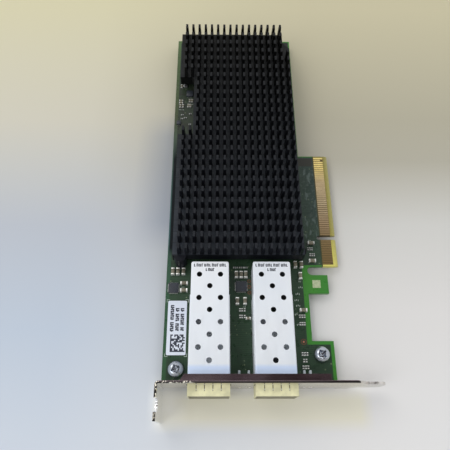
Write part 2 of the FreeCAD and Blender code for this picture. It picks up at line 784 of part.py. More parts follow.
def make_emi_ring(letter, port):
    """Spring-finger collar round the cage's mouth, in the bracket's opening."""
    name = "emi_ring_" + letter
    collar = block(name + "_outside", port + " - cage_half - ring_sheet", port + " + cage_half + ring_sheet",
                   "cage_front", "ring_rear", "-ring_sheet", "cage_height + ring_sheet")
    hollow = block(name + "_inside", port + " - cage_half", port + " + cage_half",
                   "cage_front - ring_sheet", "ring_rear + ring_sheet", "0", "cage_height")
    tools = [hollow]
    band_end = "cage_front + ring_band"
    for place in range(1, count("fingers_wide")):
        x = "%s - cage_half + %d * cage_width / fingers_wide" % (port, place)
        tools.append(block("%s_gap_x%d" % (name, place), x + " - finger_gap / 2", x + " + finger_gap / 2",
                           band_end, "ring_rear + ring_sheet",
                           "-2 * ring_sheet", "cage_height + 2 * ring_sheet"))
    for place in range(1, count("fingers_high")):
        height = "%d * cage_height / fingers_high" % place
        tools.append(block("%s_gap_z%d" % (name, place), port + " - strip_half - ring_sheet",
                           port + " + strip_half + ring_sheet", band_end, "ring_rear + ring_sheet",
                           height + " - finger_gap / 2", height + " + finger_gap / 2"))
    cutters = doc.addObject("Part::MultiFuse", name + "_cutters")
    cutters.Shapes = tools
    ring = doc.addObject("Part::Cut", name)
    ring.Label = name
    ring.Base = collar
    ring.Tool = cutters
    return ring


def make_host_connector(letter, port):
    body = new_body("host_connector_" + letter)
    plan = new_sketch(body, "host_plan_" + letter, "XY_Plane", "0")
    add_rectangle(plan, port + " - host_width / 2", port + " + host_width / 2", "host_front", "host_rear")
    pad(body, plan, "host_height")
    slot = new_sketch(body, "host_slot_" + letter, "XZ_Plane", "-host_front")
    add_rectangle(slot, port + " - host_slot_width / 2", port + " + host_slot_width / 2",
                  "host_slot_level - host_slot_height / 2", "host_slot_level + host_slot_height / 2")
    pocket(body, slot, "host_slot_depth")
    return body


def make_host_contacts(letter, port):
    """Blades on both faces of the slot, and solder tails behind the connector."""
    solids = []
    span = number("(host_contact_count - 1) * host_contact_pitch")
    half = number("host_contact_width / 2")
    thick = number("host_contact_thickness")
    slot_low = number("host_slot_level - host_slot_height / 2")
    slot_high = number("host_slot_level + host_slot_height / 2")
    slot_end = number("host_front + host_slot_depth")
    blade_front = slot_end - number("host_contact_length")
    rear = number("host_rear")
    tail_end = rear + number("host_tail_length")
    for place in range(count("host_contact_count")):
        x = number(port) - span / 2 + place * number("host_contact_pitch")
        for low, high in ((slot_low, slot_low + thick), (slot_high - thick, slot_high)):
            solids.append(solid_block(x - half, x + half, blade_front, slot_end, low, high))
        solids.append(solid_block(x - half, x + half, rear, tail_end, 0, thick))
    return solid_group("host_contacts_" + letter, solids)


# ---------------------------------------------------------------- heatsink
def sink_screw_places():
    return (("near_boss_x", "near_boss_y"), ("side_boss_x", "side_boss_y"),
            ("near_boss_x", "far_boss_y"), ("far_boss_x", "far_boss_y"))


def make_heatsink():
    body = new_body("heatsink")
    plan = new_sketch(body, "sink_plan", "XY_Plane", "sink_under")
    add_outline(plan, [
        ("near_boss_x + boss_radius", "sink_edge"),
        ("sink_right", "sink_edge"),
        ("sink_right", "sink_far - sink_corner_run"),
        ("sink_right - sink_corner_step", "sink_far - sink_corner_run + sink_corner_slant"),
        ("sink_right - sink_corner_step", "sink_far"),
        ("sink_left", "sink_far"),
        ("sink_left", "near_boss_y"),
        ("near_boss_x - boss_radius", "near_boss_y"),
        ("near_boss_x + boss_radius", "near_boss_y"),
    ], rounds_right=(7,))
    pad(body, plan, "sink_base")

    bosses = new_sketch(body, "boss_plan", "XY_Plane", "0")
    for x, y in sink_screw_places():
        radius = "small_boss_radius" if x == "side_boss_x" else "boss_radius"
        add_circle(bosses, x, y, radius)
    pad(body, bosses, "sink_gap + boss_rise")
    bores = new_sketch(body, "boss_bores", "XY_Plane", "0")
    for x, y in sink_screw_places():
        add_circle(bores, x, y, "sink_screw_diameter / 2 + screw_clearance")
    pocket(body, bores, "sink_screw_bite", along_normal=True)

    fin = new_sketch(body, "fin_profile", "XZ_Plane", "-first_row")
    add_outline(fin, [
        ("first_column - sink_pin_root / 2", "sink_deck"),
        ("first_column + sink_pin_root / 2", "sink_deck"),
        ("first_column + sink_pin_tip / 2", "sink_top"),
        ("first_column - sink_pin_tip / 2", "sink_top"),
    ])
    first_fin = pad(body, fin, "sink_far - first_row")
    first_fin.Reversed = True
    doc.recompute()
    repeat_linear(body, first_fin, "X_Axis", "sink_column_pitch", "sink_columns", "fins")

    cutout = new_sketch(body, "side_cutout", "XY_Plane", "sink_under")
    add_outline(cutout, [
        ("sink_left", "cutout_near"), ("cutout_wall", "cutout_near"),
        ("cutout_wall", "cutout_far - cutout_radius"), ("cutout_wall - cutout_radius", "cutout_far"),
        ("sink_left", "cutout_far")])
    pocket(body, cutout)

    corner = new_sketch(body, "corner_clearance", "XY_Plane", "sink_deck")
    last_gap = "first_column + (sink_columns - 1) * sink_column_pitch - sink_column_pitch / 2"
    last_lane = ("first_row + (sink_rows - sink_missing_rows) * sink_row_pitch"
                 " - (sink_row_pitch - sink_pin_length) / 2")
    add_rectangle(corner, last_gap, "sink_right", last_lane, "sink_far")
    pocket(body, corner, "sink_pin_height", along_normal=True)

    lane = new_sketch(body, "lane_profile", "YZ_Plane", "sink_left")
    lane_start = "first_row + sink_pin_length"
    add_rectangle(lane, lane_start, "first_row + sink_row_pitch", "sink_deck", "sink_top")
    first_lane = pocket(body, lane, "sink_right - sink_left", along_normal=True)
    repeat_linear(body, first_lane, "Y_Axis", "sink_row_pitch", "sink_rows - 1", "lanes")
    return body


def make_sink_screws():
    """Slotted screws from the solder side into the heatsink's bosses."""
    head_low = number("board_bottom - sink_screw_head_height")
    head = Part.makeCylinder(number("sink_screw_head / 2"), number("sink_screw_head_height"),
                             FreeCAD.Vector(0, 0, head_low))
    shank_top = number("sink_screw_bite - screw_tip")
    shank = Part.makeCylinder(number("sink_screw_diameter / 2"), shank_top - head_low,
                              FreeCAD.Vector(0, 0, head_low))
    half = number("sink_screw_slot / 2")
    reach = number("sink_screw_head")
    slot = solid_block(-reach, reach, -half, half, head_low - half, head_low + 2 * half)
    screw = head.fuse(shank).removeSplitter().cut(slot)
    return solid_group("heatsink_screws", copies_at(screw, sink_screw_places()))


# ---------------------------------------------------------------- controller and power parts
def make_controller():
    centred_block("controller_substrate", "controller_x", "controller_y",
                  "controller_size", "controller_size", "0", "controller_thickness")
    body = new_body("controller_lid")
    plan = new_sketch(body, "lid_plan", "XY_Plane", "controller_thickness")
    add_rectangle(plan, "controller_x - lid_size / 2", "controller_x + lid_size / 2",
                  "controller_y - lid_size / 2", "controller_y + lid_size / 2")
    lid = pad(body, plan, "lid_thickness")
    round_edges(body, lid, lambda edge: runs_along(edge, "z"), "lid_radius", "lid_corners")
    centred_block("thermal_pad", "controller_x", "controller_y", "pad_size", "pad_size",
                  "lid_top", "sink_under")


def make_power_parts():
    inductors = []
    regulators = []
    for place in range(count("inductor_count")):
        x = number("board_left + inductor_side")
        y = number("inductor_ahead") + place * number("inductor_pitch")
        half = number("inductor_size / 2")
        inductors.append(solid_block(x - half, x + half, y - half, y + half, 0, number("inductor_height")))
        x = x - number("regulator_from_inductor")
        half_x = number("regulator_width / 2")
        half_y = number("regulator_length / 2")
        regulators.append(solid_block(x - half_x, x + half_x, y - half_y, y + half_y,
                                      0, number("regulator_height")))
    solid_group("power_inductors", inductors)
    solid_group("regulator_chips", regulators)


def make_open_chips():
    """Chips and the label that lie in the open beside the cages and in the heatsink's cut-out."""
    centred_block("port_chip", "board_left + port_chip_side", "cage_rear - port_chip_back",
                  "port_chip_size", "port_chip_size", "0", "chip_height")
    centred_block("power_chip", "ports_middle + power_chip_shift", "cage_rear - power_chip_back",
                  "power_chip_width", "power_chip_length", "0", "chip_height")
    centred_block("flash_chip", "board_left + flash_side", "cutout_far - flash_from_wall",
                  "flash_size", "flash_size", "0", "chip_height")
    centred_block("oscillator", "board_left + oscillator_side", "cutout_far + oscillator_past_wall",
                  "oscillator_size", "oscillator_size", "0", "oscillator_height")
    centred_block("sensor_chip", "board_left + sensor_side", "cutout_near + sensor_from_wall",
                  "sensor_size", "sensor_size", "0", "chip_height")
    block("label", "board_left + label_side", "board_left + label_side + label_width",
          "board_near + label_from_edge", "board_near + label_from_edge + label_length",
          "0", "label_thickness")


def light_places():
    """Middles of the four status lights along X."""
    return ("light_a", "light_a + light_a_pitch", "light_b", "light_b + light_b_pitch")


def make_status_lights():
    solids = []
    for light in light_places():
        x = number(light)
        y = number("light_y")
        half_x = number("light_width / 2")
        half_y = number("light_length / 2")
        solids.append(solid_block(x - half_x, x + half_x, y - half_y, y + half_y,
                                  0, number("light_thickness")))
    return solid_group("status_lights", solids)


# ---------------------------------------------------------------- two-terminal parts
# Each row: what the part is, its size, whether it lies along X or Y, what its place is measured
# from on X and Y, and the distances of its middle from there.
CAPACITORS = [
    ("large", "y", "board_left", "cage_rear", ((2.5, -0.85), (4.5, -0.85), (6.7, -0.85))),
    ("large", "x", "board_left", "cage_rear", ((7.1, -5.75), (7.1, -8.65))),
    ("large", "y", "ports_middle", "cage_rear", (
        (-1.35, -2.15), (0.55, -2.15), (2.35, -2.15), (-1.15, -12.95), (1.85, -12.95))),
    ("large", "y", "-shoulder_inset", "cage_rear", ((-4.55, 2.15), (-2.15, 2.05), (-2.85, -2.65))),
    ("large", "x", "-shoulder_inset", "cage_rear", ((-2.55, -16.55),)),
    ("large", "x", "-shoulder_inset", "0", ((2.45, -2.7), (2.45, -10.4))),
    ("medium", "x", "ports_middle", "cage_rear", ((2.95, -19.65),)),
    ("medium", "y", "board_left", "cutout_near", (
        (2.7, 32.95), (2.4, 21.15), (3.7, 21.15), (6.2, 21.35), (7.2, 21.35), (6.8, 24.3), (7.9, 24.25))),
    ("medium", "x", "board_left", "cutout_near", ((2.7, 24.35), (2.7, 23.05))),
]
RESISTORS = [
    ("small", "y", "ports_middle", "cage_rear", (
        (-0.15, -16.35), (0.65, -16.35), (1.65, -16.35), (-0.15, -18.95), (0.65, -18.95), (1.65, -18.95))),
    ("small", "x", "ports_middle", "cage_rear", ((-2.0, 0.95), (-0.5, 0.95), (1.0, 0.95), (2.5, 0.95))),
    ("small", "y", "-shoulder_inset", "cage_rear", (
        (-4.05, -18.85), (-3.15, -18.85), (-2.25, -18.85),
        (-4.05, -21.75), (-3.25, -21.75), (-2.45, -21.75))),
    ("small", "y", "-shoulder_inset", "board_near", (
        (-4.05, 10.4), (-3.15, 10.4), (-2.25, 10.4), (-3.65, 8.0), (-2.75, 8.0),
        (-4.05, 5.6), (-3.15, 5.6), (-2.25, 5.6))),
    ("small", "y", "-shoulder_inset", "0", (
        (1.15, -5.1), (1.95, -5.1), (2.75, -5.1), (1.85, -7.7), (2.65, -7.7), (3.45, -7.7))),
    ("small", "x", "board_left", "cutout_near", (
        (7.2, 16.75), (3.5, 16.15), (3.4, 13.95), (5.0, 14.45), (7.2, 10.75))),
]


def two_terminal_solids(size, x, y, along, upward, base):
    """Body and two end terminals of one part, as three solids that meet face to face."""
    half_length = number(size + "_length / 2")
    half_width = number(size + "_width / 2")
    height = number(size + "_height")
    inner = half_length - number(size + "_terminal")
    low = base if upward else base - height
    high = low + height

    def span(start, end):
        if along == "x":
            return solid_block(x + start, x + end, y - half_width, y + half_width, low, high)
        return solid_block(x - half_width, x + half_width, y + start, y + end, low, high)

    return span(-inner, inner), [span(-half_length, -inner), span(inner, half_length)]


def make_two_terminal_parts(rows, body_label, terminal_label):
    bodies = []
    terminals = []
    for size, along, x_from, y_from, places in rows:
        for x_distance, y_distance in places:
            x = number(x_from) + x_distance
            y = number(y_from) + y_distance
            middle, ends = two_terminal_solids(size, x, y, along, True, 0)
            bodies.append(middle)
            terminals.extend(ends)
    solid_group(body_label, bodies)
    solid_group(terminal_label, terminals)


def make_solder_side_parts():
    """Decoupling field below the controller, and two chips towards the bracket."""
    bodies = []
    terminals = []
    columns = count("field_columns")
    rows = count("field_rows")
    base = number("board_bottom")
    for column in range(columns):
        for row in range(rows):
            x = number("controller_x") + (column - (columns - 1) / 2) * number("field_column_pitch")
            y = number("controller_y") + (row - (rows - 1) / 2) * number("field_row_pitch")
            middle, ends = two_terminal_solids("medium", x, y, "x", False, base)
            bodies.append(middle)
            terminals.extend(ends)
    solid_group("solder_side_capacitors", bodies)
    solid_group("solder_side_terminals", terminals)
    chips = []
    half = number("under_chip_size / 2")
    for x_text in ("port_a", "port_b"):
        x = number(x_text)
        y = number("under_chip_ahead")
        chips.append(solid_block(x - half, x + half, y - half, y + half,
                                 base - number("under_chip_thickness"), base))
    solid_group("solder_side_chips", chips)


# ---------------------------------------------------------------- the whole card
def build():
    fill_sheet()
    ports = (("a", "port_a"), ("b", "port_b"))
    pin_places = []
    for letter, port in ports:
        pin_places.extend(cover_pin_places(port) + base_pin_places(port))
    make_board(pin_places)
    make_edge_contacts("edge_contacts_top", "0", "contact_thickness")
    make_edge_contacts("edge_contacts_bottom", "board_bottom - contact_thickness", "board_bottom")
    make_bracket()
    make_bracket_screws()
    for letter, port in ports:
        make_cage_cover(letter, port)
        make_cage_base(letter, port)
        make_emi_ring(letter, port)
        make_host_connector(letter, port)
        make_host_contacts(letter, port)
    make_heatsink()
    make_sink_screws()
    make_controller()
    make_power_parts()
    make_open_chips()
    make_status_lights()
    make_two_terminal_parts(CAPACITORS, "capacitor_bodies", "capacitor_terminals")
    make_two_terminal_parts(RESISTORS, "resistor_bodies", "resistor_terminals")
    make_solder_side_parts()
    doc.recompute()


NODES = [
    "circuit_board", "edge_contacts_top", "edge_contacts_bottom", "bracket", "bracket_screws",
    "cage_cover_a", "cage_cover_b", "cage_base_a", "cage_base_b", "emi_ring_a", "emi_ring_b",
    "host_connector_a", "host_connector_b", "host_contacts_a", "host_contacts_b",
    "heatsink", "heatsink_screws", "thermal_pad", "controller_substrate", "controller_lid",
    "power_inductors", "regulator_chips", "port_chip", "power_chip", "flash_chip", "oscillator",
    "sensor_chip", "label", "status_lights", "capacitor_bodies", "capacitor_terminals",
    "resistor_bodies", "resistor_terminals", "solder_side_capacitors", "solder_side_terminals",
    "solder_side_chips",
]


def write_parts():
    """Check every object, then write each piece to a file of its own."""
    for item in doc.Objects:
        if "Invalid" in item.State or "Error" in item.State:
            raise RuntimeError(item.Name + " is " + ", ".join(item.State))
    pieces = {item.Label: item for item in doc.Objects if item.Label in NODES}
    for node in NODES:
        shape = pieces[node].Shape
        if shape.isNull() or not shape.isValid():
            raise RuntimeError(node + " has no valid shape")
    os.makedirs("parts", exist_ok=True)
    for node in NODES:
        shape = pieces[node].Shape
        shape.exportStep(os.path.join("parts", node + ".step"))
        box = shape.BoundBox
        print("%-24s %2d solids, %.1f x %.1f x %.1f mm, %.1f mm3" % (
            node, len(shape.Solids), box.XLength, box.YLength, box.ZLength, shape.Volume))


build()
write_parts()
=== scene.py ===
import json
import math

import bpy
from mathutils import Matrix, Vector


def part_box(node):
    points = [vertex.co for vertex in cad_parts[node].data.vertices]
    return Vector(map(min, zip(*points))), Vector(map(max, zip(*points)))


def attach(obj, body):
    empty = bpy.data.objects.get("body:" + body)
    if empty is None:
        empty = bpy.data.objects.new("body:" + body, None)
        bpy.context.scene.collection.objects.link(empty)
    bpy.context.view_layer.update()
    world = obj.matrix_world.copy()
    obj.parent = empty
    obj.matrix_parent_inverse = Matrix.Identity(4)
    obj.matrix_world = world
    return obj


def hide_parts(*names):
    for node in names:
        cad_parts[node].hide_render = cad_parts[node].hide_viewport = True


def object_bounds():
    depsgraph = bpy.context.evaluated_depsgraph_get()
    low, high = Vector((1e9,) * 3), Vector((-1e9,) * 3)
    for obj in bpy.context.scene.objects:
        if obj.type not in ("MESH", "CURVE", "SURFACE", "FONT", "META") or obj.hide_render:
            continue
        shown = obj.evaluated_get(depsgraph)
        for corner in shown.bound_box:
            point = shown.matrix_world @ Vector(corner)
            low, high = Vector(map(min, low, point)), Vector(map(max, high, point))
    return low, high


# Two-port network interface card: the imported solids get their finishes, and most of them are
# stood for by pieces with rolled edges, solder, print and screw heads with a cross recess.
# Names that end in _mm or _MM hold millimetres, and so do the corners that box_mm gives and the
# places and sizes that finishes and print are laid out by.  The frame and the meshes are in metres.

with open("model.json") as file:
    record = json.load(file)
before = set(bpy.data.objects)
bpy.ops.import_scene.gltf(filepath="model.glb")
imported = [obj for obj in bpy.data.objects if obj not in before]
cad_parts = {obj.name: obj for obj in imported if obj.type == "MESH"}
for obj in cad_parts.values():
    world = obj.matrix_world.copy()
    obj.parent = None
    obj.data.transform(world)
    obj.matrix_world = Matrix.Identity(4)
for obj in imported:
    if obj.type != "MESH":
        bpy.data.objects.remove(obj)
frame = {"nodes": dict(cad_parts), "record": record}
cad_box = [list(corner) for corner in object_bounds()]
NODES = frame["nodes"]
SLOTS = {subpart["node"]: subpart["material_slot"] for subpart in frame["record"]["subparts"]}
MM = 0.001
WELD = 0.001 * MM
CARD_MIDDLE = (-0.035, 0.02, 0.0)

PLATE_FRONT_MM = -59.05  # the bracket's front face
SHOULDER_MM = -12.85     # the board's long edge beside the fingers
FOOT_RIGHT_MM = -4.8     # right edge and far edge of the board's foot behind the bracket
FOOT_STEP_MM = -42.4
PIN_BAND_MM = 6.35       # height of the heatsink's pins
PIN_ROOT_MM = 1.5
PIN_TIP_MM = 1.0
PIN_SINK_MM = 0.3        # how far each pin runs down into the base
ROW_PITCH_MM = 4.93
FIRST_ROW_MM = -10.54    # front faces of the first row of pins
LEAD_WIDTH_MM = 0.26
LEAD_LENGTH_MM = 0.5
LEAD_THICK_MM = 0.14
LEAD_REACH_MM = 0.28     # how far a chip's leads stand out from its sides
HOOK_PAD_MM = (-11.0, -21.6)
ROUND_MARK_MM = (-16.1, -42.7)
RINGED_HOLES_BACK_MM = (4.75, 7.05, 9.45)   # from the cages' rear
PRINT_MM = 0.02          # thickness of printed marks

# Zones seen from above: lowest and highest x, lowest and highest y.
TONGUE_TRACES_MM = (-13.5, -6.8, -1, 33)    # fine traces between the heatsink and the fingers
TONGUE_END_MM = (-14, -6.9, 34.5, 38.5)     # dark patch beyond them
# The next zone is painted shade inside a cage.
VENT_SHADE_MM = (-28.8, -25.2, -51.3, -47.3)    # cage floor below the last vent

# Lines of print on the label: way across it, start, end, and how often a stroke is left out.
LABEL_LINES_MM = ((1.75, 2.2, 12.0, 9), (3.75, 3.4, 11.9, 5), (5.65, 3.4, 11.9, 7))
# Strokes in a line, their pitch and how far the line lies before the cage's rear.
CAGE_LINES_MM = ((13, 0.97, 2.15), (4, 0.9, 3.95))
# Marks in the strip beside the second cage: x, y and how many strokes.
STRIP_LEGEND_MM = ((-16.6, -21.8, 3), (-17.9, -24.5, 3), (-18.5, -27.0, 3), (-18.0, -29.2, 3),
                   (-18.7, -32.6, 2), (-18.2, -36.6, 2))

# How far the edges of the plain parts are rounded.
ROUNDED_MM = {
    "power_inductors": 0.3, "regulator_chips": 0.08, "solder_side_chips": 0.08, "oscillator": 0.12,
    "status_lights": 0.2, "capacitor_bodies": 0.07, "capacitor_terminals": 0.07,
    "resistor_bodies": 0.07, "resistor_terminals": 0.07, "solder_side_capacitors": 0.07,
    "solder_side_terminals": 0.07,
}


# ---------------------------------------------------------------- shaping by hand
def active(piece):
    """Make one piece the only one selected."""
    bpy.ops.object.select_all(action="DESELECT")
    piece.select_set(True)
    bpy.context.view_layer.objects.active = piece
    return piece


def settle(piece, name):
    """Move a piece's place into its mesh and name it."""
    active(piece)
    bpy.ops.object.transform_apply(location=True, rotation=True, scale=True)
    piece.name = name
    return piece


def new_block(low, high):
    """Cube primitive that fills a box given by its corners."""
    low, high = Vector(low), Vector(high)
    bpy.ops.object.select_all(action="DESELECT")
    bpy.ops.mesh.primitive_cube_add(size=1, location=(low + high) / 2)
    block = bpy.context.object
    block.scale = high - low
    return settle(block, "block")


def new_disc(centre, radius, depth, sides=32):
    """Upright cylinder primitive with its middle at centre."""
    bpy.ops.object.select_all(action="DESELECT")
    bpy.ops.mesh.primitive_cylinder_add(vertices=sides, radius=radius, depth=depth, location=centre)
    return settle(bpy.context.object, "disc")


def pick_all(piece):
    """Select all of a piece, and stay in edit mode."""
    active(piece)
    bpy.ops.object.mode_set(mode="EDIT")
    bpy.ops.mesh.select_all(action="SELECT")


def pick_none(piece, kind):
    """Deselect all of a piece's faces or edges."""
    active(piece)
    bpy.ops.object.mode_set(mode="EDIT")
    bpy.ops.mesh.select_mode(type=kind)
    bpy.ops.mesh.select_all(action="DESELECT")
    bpy.ops.object.mode_set(mode="OBJECT")


def pick_faces(piece, wanted):
    """Select the faces whose middle and direction pass a test, and stay in edit mode."""
    pick_none(piece, "FACE")
    for face in piece.data.polygons:
        face.select = bool(wanted(face.center, face.normal))
    bpy.ops.object.mode_set(mode="EDIT")


def pick_edges(piece, wanted):
    """Select the edges whose ends pass a test, and stay in edit mode."""
    pick_none(piece, "EDGE")
    places = [vertex.co for vertex in piece.data.vertices]
    for edge in piece.data.edges:
        edge.select = bool(wanted(*(places[end] for end in edge.vertices)))
    bpy.ops.object.mode_set(mode="EDIT")


def done():
    """Leave edit mode."""
    bpy.ops.object.mode_set(mode="OBJECT")


def add_modifier(piece, kind, **settings):
    """Add a modifier and apply it."""
    active(piece)
    modifier = piece.modifiers.new(kind.lower(), kind)
    for key, value in settings.items():
        setattr(modifier, key, value)
    bpy.ops.object.modifier_apply(modifier=modifier.name)
    return piece


def soften(piece, width_mm, segments=2):
    """Round the edges of a piece."""
    return add_modifier(piece, "BEVEL", width=width_mm * MM, segments=segments, limit_method="ANGLE",
                        angle_limit=math.radians(30))


def carve(piece, tool):
    """Cut a tool's shape out of a piece, and remove the tool."""
    add_modifier(piece, "BOOLEAN", operation="DIFFERENCE", solver="EXACT", object=tool)
    bpy.data.objects.remove(tool)
    return piece


def shade(piece, angle=35):
    """Shade a piece smooth, except over edges that turn by more than some degrees."""
    active(piece)
    bpy.ops.object.shade_smooth_by_angle(angle=math.radians(angle))
    return piece


def moved(piece, offset):
    """Copy of a piece with a mesh of its own, moved by an offset."""
    twin = piece.copy()
    twin.data = piece.data.copy()
    bpy.context.scene.collection.objects.link(twin)
    twin.data.transform(Matrix.Translation(offset))
    return twin


def join(parts, name):
    """One piece from several."""
    bpy.ops.object.select_all(action="DESELECT")
    for part in parts:
        part.select_set(True)
    bpy.context.view_layer.objects.active = parts[0]
    if len(parts) > 1:
        bpy.ops.object.join()
    piece = bpy.context.object
    piece.name = name
    return piece


def stamp(seed, offsets, name):
    """Copies of a seed piece at every offset, as one piece.  The seed itself is removed."""
    copies = [moved(seed, offset) for offset in offsets]
    bpy.data.objects.remove(seed)
    return join(copies, name)


def turned(piece, degrees, centre):
    """Turn a piece about an upright line through centre."""
    spin = Matrix.Rotation(math.radians(degrees), 4, "Z")
    piece.data.transform(Matrix.Translation(centre) @ spin @ Matrix.Translation(-Vector(centre)))
    return piece


def cad_copy(node):
    """Welded copy of a CAD node's mesh, with its flat faces whole again."""
    twin = bpy.data.objects.new(node + "_copy", NODES[node].data.copy())
    bpy.context.scene.collection.objects.link(twin)
    pick_all(twin)
    bpy.ops.mesh.remove_doubles(threshold=WELD)
    bpy.ops.mesh.dissolve_limited(angle_limit=math.radians(1))
    done()
    return twin


def cut_level(piece, level, keep_above):
    """Cut a piece through at a height, keep one side and close the cut."""
    pick_all(piece)
    bpy.ops.mesh.bisect(plane_co=(0, 0, level), plane_no=(0, 0, 1), threshold=WELD / 10,
                        use_fill=True, clear_inner=keep_above, clear_outer=not keep_above)
    done()
    return piece


def loose_boxes(piece):
    """Boxes of a piece's separate shells, as pairs of corners, sorted by place.  It is used up."""
    pick_all(piece)
    bpy.ops.mesh.separate(type="LOOSE")
    done()
    boxes = []
    for part in list(bpy.context.selected_objects):
        corners = [vertex.co for vertex in part.data.vertices]
        low = Vector([min(corner[axis] for corner in corners) for axis in range(3)])
        high = Vector([max(corner[axis] for corner in corners) for axis in range(3)])
        boxes.append((low, high))
        bpy.data.objects.remove(part)
    return sorted(boxes, key=lambda box: [round(value, 6) for value in (*box[0], *box[1])])


def blocks_like(boxes, name, rounding_mm, segments=2):
    """Rounded blocks in the places of boxes.  Each size is modelled once and copied."""
    seeds = {}
    parts = []
    for low, high in boxes:
        size = high - low
        key = tuple(round(value / MM, 3) for value in size)
        if key not in seeds:
            seeds[key] = soften(new_block((0, 0, 0), size), rounding_mm, segments)
        parts.append(moved(seeds[key], low))
    for seed in seeds.values():
        bpy.data.objects.remove(seed)
    return shade(join(parts, name))


def dress(piece, finish, slot, *nodes):
    """Give a new piece its finish, fix it to the card and let it stand for its CAD nodes."""
    piece.data.materials.clear()
    piece.data.materials.append(finish)
    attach(piece, "root")
    if nodes:
        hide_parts(*nodes)
    return piece


def dress_as(node, piece):
    """Give a piece the finish of the CAD node that it stands for."""
    return dress(piece, FINISHES[SLOTS[node]], SLOTS[node], node)


def break_edges(piece, rounding_mm, name):
    """Round the edges of a flat-sided piece, keep its faces flat to the eye, and name it."""
    soften(piece, rounding_mm)
    piece.name = name
    shade(piece)
    return add_modifier(piece, "WEIGHTED_NORMAL", keep_sharp=True)


def soft_copy(node, name, rounding_mm):
    """A CAD node's form with its edges broken."""
    return dress_as(node, break_edges(cad_copy(node), rounding_mm, name))


